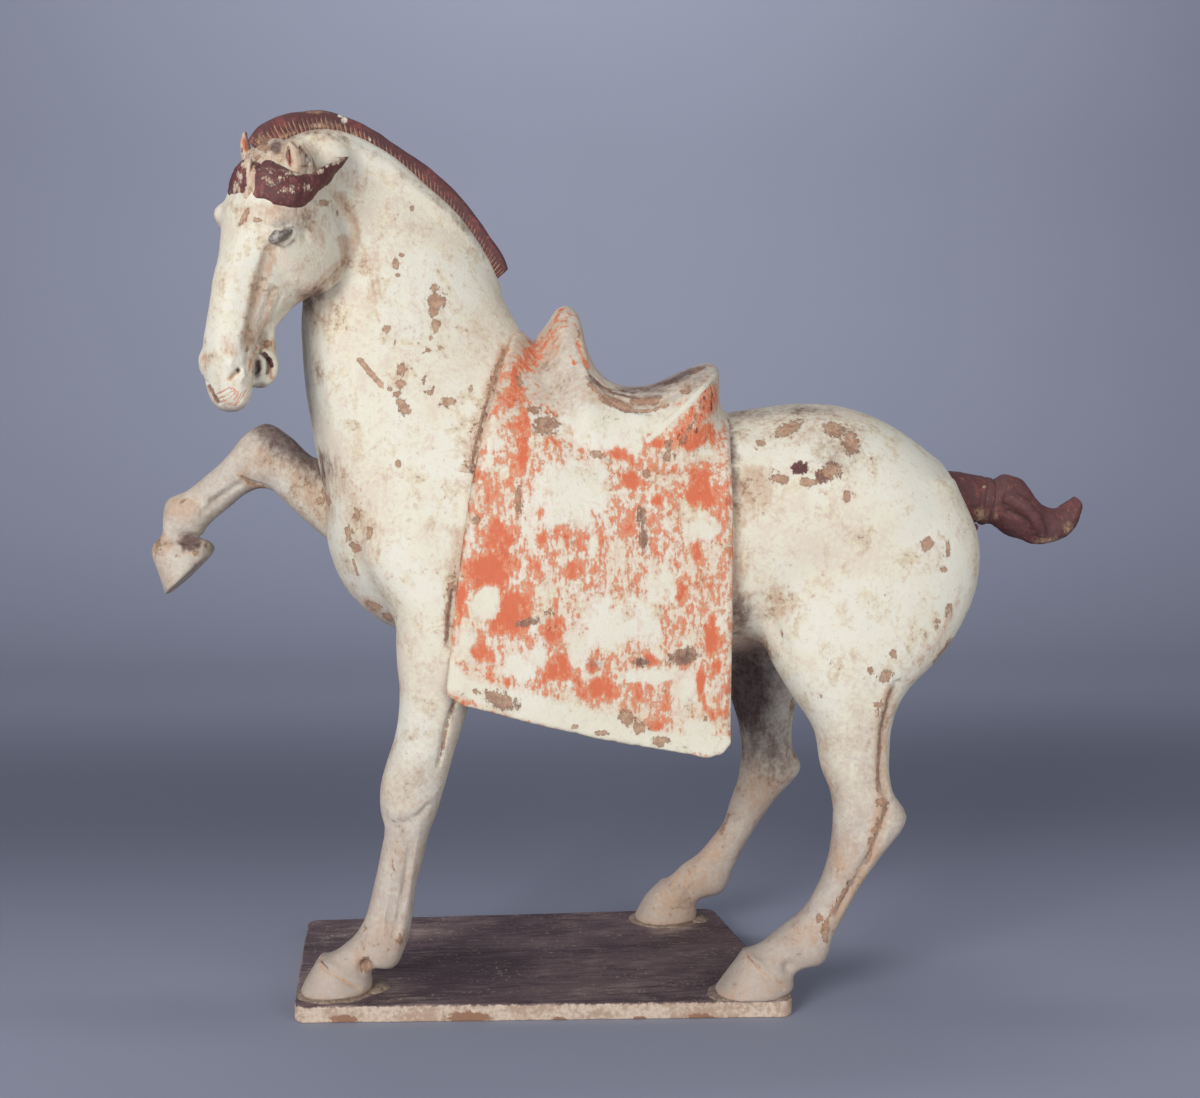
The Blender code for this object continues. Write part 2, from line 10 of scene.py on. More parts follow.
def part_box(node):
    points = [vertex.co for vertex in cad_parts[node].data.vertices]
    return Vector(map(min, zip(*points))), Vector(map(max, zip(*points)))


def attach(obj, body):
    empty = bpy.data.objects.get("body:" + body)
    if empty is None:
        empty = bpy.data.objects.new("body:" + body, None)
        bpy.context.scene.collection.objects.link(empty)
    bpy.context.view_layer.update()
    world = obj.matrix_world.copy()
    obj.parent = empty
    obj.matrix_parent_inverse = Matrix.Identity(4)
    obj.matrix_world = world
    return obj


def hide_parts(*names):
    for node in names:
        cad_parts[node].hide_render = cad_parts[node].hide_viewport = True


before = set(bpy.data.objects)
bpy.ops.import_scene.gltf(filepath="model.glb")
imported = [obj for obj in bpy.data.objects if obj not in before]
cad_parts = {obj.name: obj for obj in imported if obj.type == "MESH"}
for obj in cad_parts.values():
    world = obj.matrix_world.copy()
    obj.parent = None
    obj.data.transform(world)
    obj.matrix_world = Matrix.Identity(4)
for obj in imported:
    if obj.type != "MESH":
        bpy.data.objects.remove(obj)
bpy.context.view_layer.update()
scene = bpy.context.scene
print("frame loaded")

# The photograph's camera: sizes and places in its pixels, the camera's own place in metres
photo = {
    "width": 1200,
    "height": 1098,
    "focal": 1450.0,
    "turn": radians(5),
    "horizon": 467.0,
    "place": (-0.0371, -1.0141, 0.3576),
}

# The figure is drawn in millimetres, with its soles at "sole", and follows the CAD horse
figure = {"sole": 12.0, "height": 578.7, "ringsBetween": 5, "ringPoints": 32}
horseLow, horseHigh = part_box("horse")
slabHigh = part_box("base_slab")[1]
unit = (horseHigh.z - horseLow.z) / figure["height"]

nod = np.arctan((photo["height"] / 2 - photo["horizon"]) / photo["focal"])
lookAlong = np.array([sin(photo["turn"]) * cos(nod), cos(photo["turn"]) * cos(nod), -sin(nod)])
lookRight = np.array([cos(photo["turn"]), -sin(photo["turn"]), 0.0])
lookUp = np.cross(lookRight, lookAlong)
cameraPlace = np.array(photo["place"])


def place(x, y, z):
    return Vector((x * unit, y * unit, (z - figure["sole"]) * unit + horseLow.z))


def seenAt(points):  # photo pixels of points in metres
    away = points - cameraPlace
    depth = away @ lookAlong
    across = photo["width"] / 2 + photo["focal"] * (away @ lookRight) / depth
    down = photo["height"] / 2 - photo["focal"] * (away @ lookUp) / depth
    return across, down


def onSurface(tree, path):  # where the camera's rays through photo pixels meet a form
    found = []
    for across, down in path:
        ray = (
            lookAlong * photo["focal"]
            + lookRight * (across - photo["width"] / 2)
            - lookUp * (down - photo["height"] / 2)
        )
        hit = tree.ray_cast(Vector(cameraPlace), Vector(ray).normalized())[0]
        if hit:
            found.append(np.array(hit))
    return found


# Forms: a section is front x, front z, back x, back z, centre y, half width, squareness
# and, where it is wider in front or behind, egg
def smoothRows(rows, between):
    rows = np.array(rows, float)
    centres = np.stack([rows[:, 0] + rows[:, 2], rows[:, 1] + rows[:, 3]], 1) / 2
    steps = np.maximum(np.linalg.norm(np.diff(centres, axis=0), axis=1), 1.0)
    slopes = np.gradient(rows, np.concatenate([[0.0], np.cumsum(steps)]), axis=0)
    found = [rows[0]]
    for i, step in enumerate(steps):
        for t in np.arange(1, between + 1) / between:
            found.append(
                rows[i] * (2 * t**3 - 3 * t**2 + 1)
                + rows[i + 1] * (3 * t**2 - 2 * t**3)
                + slopes[i] * step * (t**3 - 2 * t**2 + t)
                + slopes[i + 1] * step * (t**3 - t**2)
            )
    return found


def bridge(form, rings):
    rows = [[form.verts.new(point) for point in ring] for ring in rings]
    count = len(rows[0])
    for low, high in zip(rows, rows[1:]):
        for j in range(count):
            k = (j + 1) % count
            form.faces.new((low[j], low[k], high[k], high[j]))
    form.faces.new(rows[0][::-1])
    form.faces.new(rows[-1])


def power(value, exponent):
    return np.sign(value) * abs(value) ** exponent


def loft(form, sections, turn=Matrix(), between=None, points=None):
    between = between or figure["ringsBetween"]
    points = points or figure["ringPoints"]
    rings = []
    whole = [(*section, 0.0)[:8] for section in sections]
    for fx, fz, bx, bz, y, halfWidth, square, egg in smoothRows(whole, between):
        ring = []
        for j in range(points):
            angle = 2 * pi * j / points
            along = power(cos(angle), 2 / square)
            across = power(sin(angle), 2 / square) * (1 + egg * along)
            x = (fx + bx) / 2 + along * (fx - bx) / 2
            z = (fz + bz) / 2 + along * (fz - bz) / 2
            ring.append(place(*(turn @ Vector((x, y + across * halfWidth, z)))))
        rings.append(ring)
    bridge(form, rings)


def pebble(form, centre, radii, turn=Matrix(), fineness=3):
    local = turn @ Matrix.Translation(centre) @ Matrix.Diagonal((*radii, 1.0))
    made = bmesh.ops.create_icosphere(form, subdivisions=fineness, radius=1.0)
    for vert in made["verts"]:
        vert.co = place(*(local @ vert.co))


def strand(form, path, radii, turn=Matrix(), points=14, between=6):  # a roll of clay along a path
    rows = smoothRows([(x, z, x, z, y, r) for (x, y, z), r in zip(path, radii)], between)
    centres = [Vector((row[0], row[4], row[1])) for row in rows]
    last = len(centres) - 1
    steps = [centres[min(i + 1, last)] - centres[max(i - 1, 0)] for i in range(last + 1)]
    spin = steps[0].to_track_quat("Z", "Y")
    rings = []
    for i, centre in enumerate(centres):
        if i:
            spin = steps[i - 1].rotation_difference(steps[i]) @ spin
        ring = []
        for j in range(points):
            angle = 2 * pi * j / points
            spoke = spin @ Vector((cos(angle), sin(angle), 0)) * rows[i][5]
            ring.append(place(*(turn @ (centre + spoke))))
        rings.append(ring)
    bridge(form, rings)


# Meshes
def toPiece(name, form, node):
    bmesh.ops.recalc_face_normals(form, faces=form.faces)
    mesh = bpy.data.meshes.new(name)
    form.to_mesh(mesh)
    form.free()
    mesh.shade_smooth()
    piece = bpy.data.objects.new(name, mesh)
    scene.collection.objects.link(piece)
    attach(piece, "root")
    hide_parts(node)
    return piece


def waver(*at):  # smooth noise at a place
    return noise.noise(Vector(at))


def settle(piece):  # the mesh as its modifiers leave it
    mesh = bpy.data.meshes.new_from_object(piece.evaluated_get(bpy.context.evaluated_depsgraph_get()))
    piece.modifiers.clear()
    piece.data = mesh
    mesh.name = piece.name
    return mesh


def fused(piece, grain):  # overlapping forms become one skin
    skin = piece.modifiers.new("fuse", "REMESH")
    skin.mode = "VOXEL"
    skin.voxel_size = grain
    return settle(piece)


def thinned(piece, shares, triangles, factor=1.0):  # fewer triangles where the shares are high
    coarse = piece.vertex_groups.new(name="coarse")
    for share in np.unique(shares[shares > 0]):
        coarse.add(np.nonzero(shares == share)[0].tolist(), float(share), "REPLACE")
    thin = piece.modifiers.new("thin", "DECIMATE")
    thin.vertex_group = coarse.name
    thin.vertex_group_factor = factor
    thin.ratio = min(1.0, triangles / (2 * len(piece.data.vertices)))
    mesh = settle(piece)
    piece.vertex_groups.clear()
    return mesh


def read(mesh):
    points = np.empty(len(mesh.vertices) * 3)
    normals = np.empty(len(mesh.vertices) * 3)
    mesh.vertices.foreach_get("co", points)
    mesh.vertices.foreach_get("normal", normals)
    return points.reshape(-1, 3), normals.reshape(-1, 3)


def write(mesh, points):
    mesh.vertices.foreach_set("co", points.ravel())
    mesh.update()


def edgeEnds(mesh):
    edges = np.empty(len(mesh.edges) * 2, int)
    mesh.edges.foreach_get("vertices", edges)
    return edges.reshape(-1, 2).T


def pulls(points, a, b, degree):  # how far each point lies from the mean of its neighbours
    total = np.empty_like(points)
    for axis in range(3):
        total[:, axis] = np.bincount(a, points[b, axis], len(points))
        total[:, axis] += np.bincount(b, points[a, axis], len(points))
    return total / np.maximum(degree, 1)[:, None] - points


easing = {"hollow": 0.8, "ridge": 0.12}  # share of the way to its neighbours that a point goes in a round


def easeCreases(mesh, rounds, chosen=None, renew=5):  # hollows fill like clay fillets, ridges hardly move
    if chosen is None:
        chosen = np.ones(len(mesh.vertices), bool)
    a, b = edgeEnds(mesh)
    whole = np.bincount(np.concatenate([a, b]), minlength=len(chosen))
    inside = chosen[a] & chosen[b]
    index = np.cumsum(chosen) - 1
    a, b = index[a[inside]], index[b[inside]]
    degree = np.bincount(np.concatenate([a, b]), minlength=int(chosen.sum()))
    free = (degree == whole[chosen])[:, None]
    for done in range(rounds):
        if done % renew == 0:
            points, normals = read(mesh)
            part, facing = points[chosen], normals[chosen]
        pull = pulls(part, a, b, degree)
        hollow = (pull * facing).sum(1, keepdims=True)
        part = part + free * np.where(hollow > 0, easing["hollow"], easing["ridge"]) * pull
        if done % renew == renew - 1 or done == rounds - 1:
            points[chosen] = part
            write(mesh, points)


def away(points, path):  # distance from a path of points
    nearest = np.full(len(points), np.inf)
    for start, end in zip(path, path[1:]):
        along = end - start
        share = np.clip((points - start) @ along / max(along @ along, 1e-12), 0, 1)
        nearest = np.minimum(nearest, np.linalg.norm(points - start - share[:, None] * along, axis=1))
    return nearest


def groove(points, normals, path, width, depth):
    path = np.array(path)
    margin = 3 * width * unit
    inside = (points > path.min(0) - margin) & (points < path.max(0) + margin)
    near = np.nonzero(inside.all(1))[0]
    reach = away(points[near], path) / (width * unit)
    points[near] -= normals[near] * (depth * unit * np.exp(-(reach**2)))[:, None]


def carve(mesh, cuts, mirror=None):  # cuts are a width, a depth and a path in photo pixels
    points, normals = read(mesh)
    mesh.calc_loop_triangles()
    corners = np.empty(len(mesh.loop_triangles) * 3, int)
    mesh.loop_triangles.foreach_get("vertices", corners)
    tree = BVHTree.FromPolygons(points.tolist(), corners.reshape(-1, 3).tolist())
    for width, depth, path in cuts:
        found = onSurface(tree, path)
        if len(found) == 1:
            found *= 2
        if found:
            groove(points, normals, found, width, depth)
            if mirror:
                groove(points, normals, [mirror(p) for p in found], width, depth)
    write(mesh, points)


def refine(mesh, chosen):  # twice as fine where chosen
    form = bmesh.new()
    form.from_mesh(mesh)
    ends = [edge for edge in form.edges if chosen[edge.verts[0].index] and chosen[edge.verts[1].index]]
    bmesh.ops.subdivide_edges(form, edges=ends, cuts=1, use_grid_fill=True)
    form.to_mesh(mesh)
    form.free()


def roughen(mesh, layers):  # hand-worked unevenness: size and height in drawn millimetres, and a seed
    for size, height, seed in layers:
        points, normals = read(mesh)
        offset = Vector((seed, seed * 1.7, seed * 2.3))
        lift = np.array([noise.noise(Vector(p) / (size * unit) + offset) for p in points])
        write(mesh, points + normals * (lift * height * unit)[:, None])


def nearTo(points, places):  # which points lie within reach of any of the drawn places
    found = np.zeros(len(points), bool)
    for *middle, reach in places:
        found |= np.linalg.norm(points - np.array(place(*middle)), axis=1) < reach * unit
    return found


# The body: trunk, legs, hooves and head in one piece of clay
body = {
    "grain": 0.0013,  # metres
    "fillets": 20,  # rounds of easing
    "limbFillets": 110,
    "lastFillets": 3,
    "triangles": 185000,
    "thinning": 0.003,
    "headShare": 0.5,  # how much of the thinning reaches the head
    "hoofRings": 8,
    "crestPoints": 20,
    "uneven": [(26, 0.6, 0.0), (8, 0.2, 5.0), (3, 0.06, 7.0)],
    "trunk": [
        (-156, 514, -138, 570, -34, 14, 2.0, 0.1),
        (-149, 493, -116, 572, -26, 19, 2.0, 0.2),
        (-150, 474, -93, 562, -18, 24, 2.1, 0.3),
        (-152, 451, -70, 545, -12, 31, 2.1, 0.3),
        (-151.5, 425, -47, 524, -8, 39, 2.1, 0.3),
        (-148.5, 397, -28.5, 498, -5, 47, 2.2, 0.3),
        (-143.5, 366, -15, 471.5, -1, 55, 2.2, 0.25),
        (-138, 332, -0.5, 447.5, 0, 62, 2.2, 0.2),
        (-136, 300, 14, 432, 0, 69, 2.2, 0.15),
        (-123, 272, 32, 422, 0, 74, 2.2, 0.1),
        (-98, 249, 52, 412, 0, 78, 2.2, 0.05),
        (-40, 237, 75, 404, 0, 81, 2.2),
        (30, 227, 100, 398, 0, 82, 2.2),
        (95, 222, 125, 393, 0, 82, 2.2),
        (147, 224, 152, 397.5, 0, 81, 2.2),
        (185, 232, 185, 402, 0, 85, 2.2),
        (222, 230, 220, 401, 0, 88, 2.2),
        (254, 233, 250.5, 389.5, 0, 85, 2.2),
        (279, 247, 276.5, 373.5, 0, 74, 2.1),
        (295, 268, 294.5, 357.5, 0, 55, 2.0),
        (305, 298, 306, 334, 0, 24, 2.0),
    ],
    "nearHindLeg": [
        (188, 345, 291, 350, -40, 36, 2.2),
        (166, 300, 307, 305, -48, 39, 2.2),
        (156, 262, 298, 262, -54, 37, 2.2),
        (160, 232, 277.5, 232, -61, 33, 2.2),
        (173, 208, 252, 208, -67, 28, 2.1),
        (188, 184, 241, 186, -72, 22, 2.0),
        (192, 160, 238, 162, -76, 18, 2.0),
        (199, 140, 240, 143, -79, 16, 2.1),
        (200, 119, 249, 125, -80, 16, 2.2),
        (197, 99, 234.5, 104, -81, 15, 2.2),
        (189.5, 80, 219, 83, -82, 12.5, 2.1),
        (180.5, 66, 209, 66, -83, 12, 2.1),
        (168.5, 56, 200, 49, -84, 13, 2.2),
        (157, 48, 192, 30, -85, 14.5, 2.2),
        (149, 43, 178, 27, -86, 13.5, 2.1),
        (141, 40, 172, 24, -86, 16, 2.1),
    ],
    "farHindLeg": [
        (178, 345, 286, 350, 40, 36, 2.2),
        (150, 300, 297, 305, 48, 39, 2.2),
        (137, 262, 286, 262, 54, 37, 2.2),
        (139, 232, 259, 232, 60, 33, 2.2),
        (147, 208, 232, 208, 64, 27, 2.1),
        (157, 184, 212, 186, 68, 21, 2.0),
        (164.5, 160, 205, 162, 71, 17.5, 2.0),
        (167, 143, 206, 144, 73, 16, 2.1),
        (165, 121, 213, 127, 74, 16, 2.2),
        (158.5, 101, 196, 107, 74, 15, 2.2),
        (154, 85, 180.5, 85, 74, 12.5, 2.1),
        (143.5, 71, 169.5, 66, 74, 12, 2.1),
        (133.5, 60, 160.5, 49, 74, 13, 2.2),
        (121, 52, 151.5, 31, 74, 14.5, 2.2),
        (114.5, 46, 137, 27, 74, 13, 2.1),
        (108, 41.5, 131.5, 24, 74, 16, 2.1),
    ],
    "nearForeleg": [
        (-112, 345, -14, 340, -38, 34, 2.2),
        (-112, 300, -16, 295, -46, 33, 2.3),
        (-89.5, 262, -24, 258, -53, 29, 2.3),
        (-88, 234, -32, 228, -56, 25, 2.2),
        (-86, 208, -39, 204, -57, 21, 2.2),
        (-88.5, 184, -46.5, 181, -58, 19, 2.2),
        (-95, 163, -52.5, 161, -58, 18, 2.2),
        (-99, 147, -57, 146, -58, 17.5, 2.3),
        (-99, 131, -61.5, 130, -58, 16, 2.2),
        (-96.5, 119, -67, 116, -58, 13.5, 2.1),
        (-99, 103, -70, 102, -59, 12.5, 2.1),
        (-104, 80, -75.5, 82, -59, 12, 2.1),
        (-109, 61, -78, 62, -60, 12.5, 2.2),
        (-117, 48, -83, 40, -60, 14.5, 2.2),
        (-124, 42, -90, 27, -60, 14.5, 2.2),
        (-130, 38, -104, 27, -60, 13, 2.1),
        (-137, 35, -107, 21, -60, 16, 2.1),
    ],
    "raisedForeleg": [
        (-80, 352, -62, 262, 34, 30, 2.2),
        (-106, 355, -96, 276, 42, 28, 2.2),
        (-132, 361.5, -130, 295, 48, 23, 2.2),
        (-153, 365.5, -152, 313, 51, 20, 2.2),
        (-170, 380.5, -170, 330, 52, 18.5, 2.2),
        (-186, 389, -182, 341, 53, 18, 2.3),
        (-201, 381, -192, 342, 54, 17, 2.2),
        (-212, 367.5, -202, 337.5, 54, 14, 2.1),
        (-228, 352.5, -214, 328, 55, 12, 2.1),
        (-243.5, 340.5, -225, 319, 55, 12.5, 2.1),
        (-257.5, 332.5, -231, 312, 55, 14.5, 2.2),
        (-259.5, 322.5, -232.5, 309, 55, 13.5, 2.1),
        (-259.8, 316, -243, 309, 55, 11.5, 2.1),
        (-260.5, 309, -245, 306.5, 55, 10.5, 2.1),
        (-262, 302, -240, 302, 55, 11, 2.1),
    ],
    "nearHindHoof": [
        (139, 41, 171, 23, -87, 16.5, 2.2, 0.1),
        (132, 30, 172, 16, -87, 19, 2.2, 0.1),
        (119, 12, 168, 12, -87, 21, 2.2, 0.1),
    ],
    "farHindHoof": [
        (106.5, 42, 131.5, 23, 74, 16.5, 2.2, 0.1),
        (93, 28, 132.5, 17, 74, 19, 2.2, 0.1),
        (84, 12, 132, 12, 74, 21, 2.2, 0.1),
    ],
    "nearForeHoof": [
        (-139, 36, -106, 22, -60, 17, 2.2, 0.1),
        (-146, 25, -105, 17, -60, 19.5, 2.2, 0.1),
        (-153, 12, -106, 12, -60, 21.5, 2.2, 0.1),
    ],
    "raisedHoof": [
        (-262.5, 306.5, -242, 306.5, 55, 11, 2.2, 0.1),
        (-267.3, 301.5, -231.5, 305.5, 55, 16, 2.2, 0.1),
        (-267.8, 294, -225, 301, 55, 18.5, 2.2, 0.1),
        (-262.9, 280, -224.5, 298, 55, 19.5, 2.2, 0.1),
        (-258.5, 265, -225.5, 295.5, 55, 19.5, 2.2, 0.1),
    ],
    # the roll of clay that the mane stands in
    "crest": [
        (-162, -51, 552), (-153, -48.5, 559.5), (-141, -42.5, 565.5), (-128, -36, 567), (-114, -29.5, 564),
        (-100, -24, 557.5), (-86, -19, 548), (-72, -14.5, 536.5), (-58, -11, 524.5), (-43.4, -7, 507.5),
        (-31, -4.5, 492.5), (-21, -3, 476),
    ],
    "crestRadii": [8, 10, 11.5, 12, 12, 12, 12, 12, 12, 11.5, 9, 6],
    # where the mesh is made finer: x, y, z and reach
    "fine": [
        (-160, -60, 485, 100), (-130, -60, 30, 45), (146, -87, 35, 50), (112, 74, 35, 48), (-247, 55, 300, 48),
    ],
    # worked into the near side
    "cuts": [
        (1.6, 2.2, [(455.5, 700), (448, 720), (443.5, 741), (439, 765)]),  # behind the foreleg
        (2.0, 1.5, [(386, 820), (396, 824), (406, 823), (417, 817), (427, 806)]),
        (2.6, -0.9, [(437, 790), (428, 799), (418, 808), (406, 815), (394, 817)]),
        (2.0, 1.9, [(411, 846), (408, 866), (405, 884), (400, 910), (394, 936)]),
        (2.2, -0.9, [(417, 838), (413, 862), (410, 888), (405, 916), (400, 940)]),
        (1.8, 1.2, [(395.5, 884), (392, 906), (388, 930)]),
        (2.0, -0.8, [(390, 892), (387, 912), (384, 932)]),
        (1.3, 1.5, [(318.5, 958), (323, 966), (330, 972), (342, 979), (350, 984), (359, 988.5)]),  # its hoof
        (4.2, 5.0, [(365, 966)]),
        (1.3, 1.5, [(745.5, 957), (752, 965), (758, 971.5), (771, 983), (784, 989.5)]),  # near hind hoof
        (4.0, 4.0, [(789, 967)]),
        (2.4, 2.2, [(889, 806), (882, 828), (873, 851), (860, 874), (849, 891), (838, 914)]),
        (2.4, -0.9, [(881, 800), (873, 826), (864, 848), (852, 868)]),
        (2.4, 1.3, [(868, 806), (864, 826), (857, 848), (846, 872)]),
        (2.8, 1.8, [(897, 684), (886, 716), (881, 756), (884, 792)]),
        (3.2, -0.8, [(886, 690), (876, 722), (872, 760), (876, 792)]),
        (1.2, 1.3, [(657.5, 893), (662, 899.5), (668, 903.5), (680, 907), (692, 909)]),  # far hind hoof
        (3.0, 1.6, [(690, 893)]),
        (1.9, 2.3, [(214, 500), (222, 495), (231, 489), (240, 484)]),
        (2.2, -0.8, [(206, 499), (222, 488), (238, 478)]),  # raised foreleg
        (1.8, 1.4, [(203, 512), (210, 507), (217, 501)]),
        (2.0, 2.0, [(239, 472), (244, 479), (254, 484), (263, 485.5)]),
        (1.5, 1.3, [(247, 446), (253, 451), (251, 460), (257, 466), (266, 461)]),
        (2.4, -0.9, [(259, 449), (263, 456), (259, 463)]),
        (2.6, -1.1, [(172, 508), (184, 503), (194, 508), (196, 517)]),
        (1.4, 1.2, [(153.5, 552), (162, 557), (176, 556), (187, 551)]),
        (1.2, 1.0, [(172, 590), (190, 572), (210, 551)]),
        (3.4, 2.6, [(184, 541), (196, 541)]),
        (1.6, -1.0, [(156, 541), (163, 537), (172, 536)]),
        (3.0, 1.6, [(770, 620), (778, 634), (786, 650)]),  # flank fold
    ],
    # where the limbs grow out of the trunk: x, y, z and reach
    "limbRoots": [
        (185, -78, 275, 65),
        (172, 78, 275, 65),
        (-118, 48, 305, 42),
        (-85, -60, 255, 48),
        (-114, -42, 540, 32),
    ],
}

# The head, drawn facing -X and turned about an upright axis through the poll
head = {
    "turn": radians(45),
    "x": -161.0,
    "y": -56.0,
    "around": [(-160, -60, 485, 95.0)],
    "rings": 8,
    "skull": [
        (-4, 568, 15, 561, 0, 10, 2.0),
        (-13, 562, 24, 551, 0, 19, 2.1),
        (-20, 552, 33, 538, 0, 26, 2.2, 0.05),
        (-28, 538, 39, 523, 0, 29, 2.3, 0.08),
        (-34, 523, 42, 508, 0, 29, 2.4, 0.1),
        (-36.5, 509, 40, 494, 0, 27, 2.5, 0.08),
        (-40, 494, 34, 480.5, 0, 24, 2.5),
        (-46, 479, 22.5, 470.5, 0, 20, 2.5, -0.05),
        (-49, 465, 5.5, 460, 0, 17.5, 2.5, -0.05),
        (-52, 448, -15, 447, 0, 16, 2.5),
        (-53, 435, -24, 434, 0, 16, 2.4, 0.1),
        (-53, 421.5, -26.5, 420.5, 0, 17.5, 2.4, 0.05),
        (-50.5, 409, -28.5, 408, 0, 17.5, 2.3),
        (-48, 400.5, -30, 400.5, 0, 15.5, 2.2),
        (-45, 395.5, -32.5, 395.7, 0, 12.5, 2.1),
        (-41.8, 392.8, -35.5, 393, 0, 8, 2.0),
        (-39.6, 391.9, -37.6, 392, 0, 4, 2.0),
    ],
    "jaw": [
        (-20, 468, 12, 468.5, 0, 15, 2.3),
        (-22, 456, 2, 455.5, 0, 13, 2.3),
        (-21, 445, -9, 445, 0, 12, 2.3),
        (-17, 436, -8.5, 435, 0, 11, 2.3),
        (-14, 425, -9.5, 422.5, 0, 9.5, 2.3),
        (-16, 418, -12.8, 412, 0, 9.5, 2.3),
        (-21, 414, -20.5, 409, 0, 9, 2.2),
        (-26, 414, -26.5, 410, 0, 6, 2.0),
    ],
    "tongue": [  # and the clay left standing inside the mouth
        (-34, 440, -14, 440, 0, 6, 2.0),
        (-33, 428, -13, 428, 0, 4.5, 2.2),
        (-32, 418, -15, 418, 0, 4, 2.2),
        (-31, 412.5, -22, 412.5, 0, 3, 2.0),
    ],
    # eggs of clay: far and near brow, eyes, cheeks and nostrils, each with centre and radii
    "eggs": [
        ((-19, 22, 519), (13, 10, 9)),
        ((-13, -22, 511), (13, 7.5, 8)),
        ((-15.5, 23.4, 500.8), (11.5, 3.6, 6.5)),
        ((-15.5, -23.4, 500.8), (11.5, 3.6, 6.5)),
        ((9, 19, 499), (31, 10, 32)),
        ((9, -19, 499), (31, 10, 32)),
        ((-43.5, 11.5, 424), (9.5, 7.5, 11)),
        ((-42, -11, 424), (10, 7, 12)),
    ],
    # rolls of clay on both sides: the lower lip and the rim of the tongue
    "rolls": [
        (3.0, [
            (-20.5, 7, 430.5), (-16.5, 9, 430), (-13.6, 9, 428.3), (-12.2, 9, 425), (-12, 9, 421),
            (-13.3, 9, 416.5), (-16.8, 9, 412.6), (-21, 8.5, 410.5), (-25.5, 6.5, 410.8), (-28, 0, 411.5),
        ]),
        (1.9, [
            (-28, 9, 425), (-24.5, 9.5, 427), (-21.4, 9.5, 425.8), (-20.6, 9.5, 421.5), (-21, 9.5, 417.6),
            (-23.8, 9, 415.2), (-27.2, 7.5, 413.6),
        ]),
    ],
    "mouth": (-20, 0, 420, 16),  # place on the head and reach
    "mouthFillets": 4,
    "poll": [
        ((-166, -56, 547), (14, 13, 12)),
        ((-150, -52, 556), (15, 11, 14)),
        ((-134, -43, 558), (20, 12, 17)),
        ((-175, -50, 555), (8, 9, 9)),
    ],
    # worked into both sides, by their place in the photo: width, depth and path
    "cuts": [
        (5.0, 1.7, [
            (273.5, 246), (269, 253), (265, 264), (261.5, 277), (257.5, 294), (254, 311), (251.5, 328), (249, 343),
        ]),
        (2.6, 1.1, [(273.5, 289), (269, 299), (265, 311), (261.5, 324)]),
        (1.8, 0.8, [(281, 296), (276, 308), (271, 321)]),
        (3.6, -1.0, [(262, 250), (256, 272), (249, 300), (243, 325), (239, 343)]),  # edge of the nose
        (1.4, 3.6, [(238.5, 370.5)]),  # nostril and its slit
        (1.0, 1.6, [(237.5, 372), (233, 376.5), (229, 380)]),
        (1.3, -0.9, [(232, 361), (229.5, 366), (231.5, 371)]),
        (1.2, -0.8, [(243.5, 370), (244, 376), (241, 381)]),
        (1.6, 1.4, [(247, 348), (247.5, 355), (246.5, 362)]),
        (1.0, 1.2, [(256, 348), (253, 353), (250.5, 360)]),
        (1.3, -0.8, [(276, 243.5), (277.5, 234), (283, 227.5), (291, 225), (296, 228)]),  # lids
        (1.1, -0.6, [(276, 243.5), (282, 247), (289, 244), (295, 234)]),
        (4.5, -1.6, [(273, 221), (281, 217), (290, 217), (299, 221)]),  # brow
        (2.6, 1.2, [(262, 223), (270, 227), (275, 232)]),
        (2.6, 1.0, [(297, 226), (303, 231), (306, 238)]),
        (2.4, -0.7, [(330, 197), (342, 206), (351, 220), (355, 236), (351, 252), (341, 266), (327, 278)]),  # cheek
    ],
    # worked into the near side only: the lips' edge and the brushed lines on the upper lip
    "nearCuts": [
        (1.3, 1.5, [(207.5, 383), (211, 389.5), (215, 397), (219, 403.5)]),
        (0.6, 0.3, [(217, 395), (223, 392.5), (228, 389), (233, 388)]),
        (0.6, 0.3, [(219, 399), (225, 396.5), (230, 392), (234, 389.5)]),
        (0.6, 0.3, [(221, 402.5), (227, 400), (232, 395.5), (236, 391)]),
        (0.6, 0.3, [(225, 404.5), (230, 402.5), (235, 397.5), (239, 392)]),
        (0.6, 0.3, [(229, 406.5), (234, 403.5), (238, 398.5), (242, 393)]),
        (0.6, 0.3, [(234, 406.5), (238, 403), (242, 397.5), (245, 392)]),
    ],
}

headFrame = Matrix.Translation((head["x"], head["y"], 0)) @ Matrix.Rotation(head["turn"], 4, "Z")


def onHead(x, y, z):
    return np.array(place(*(headFrame @ Vector((x, y, z)))))


def acrossHead(point):  # the same place on the head's other side
    drawn = Vector(point) / unit
    x, y, z = headFrame.inverted() @ Vector((drawn.x, drawn.y, 0)) + Vector((0, 0, drawn.z))
    x, y, _ = headFrame @ Vector((x, -y, 0))
    return np.array((x * unit, y * unit, z * unit))


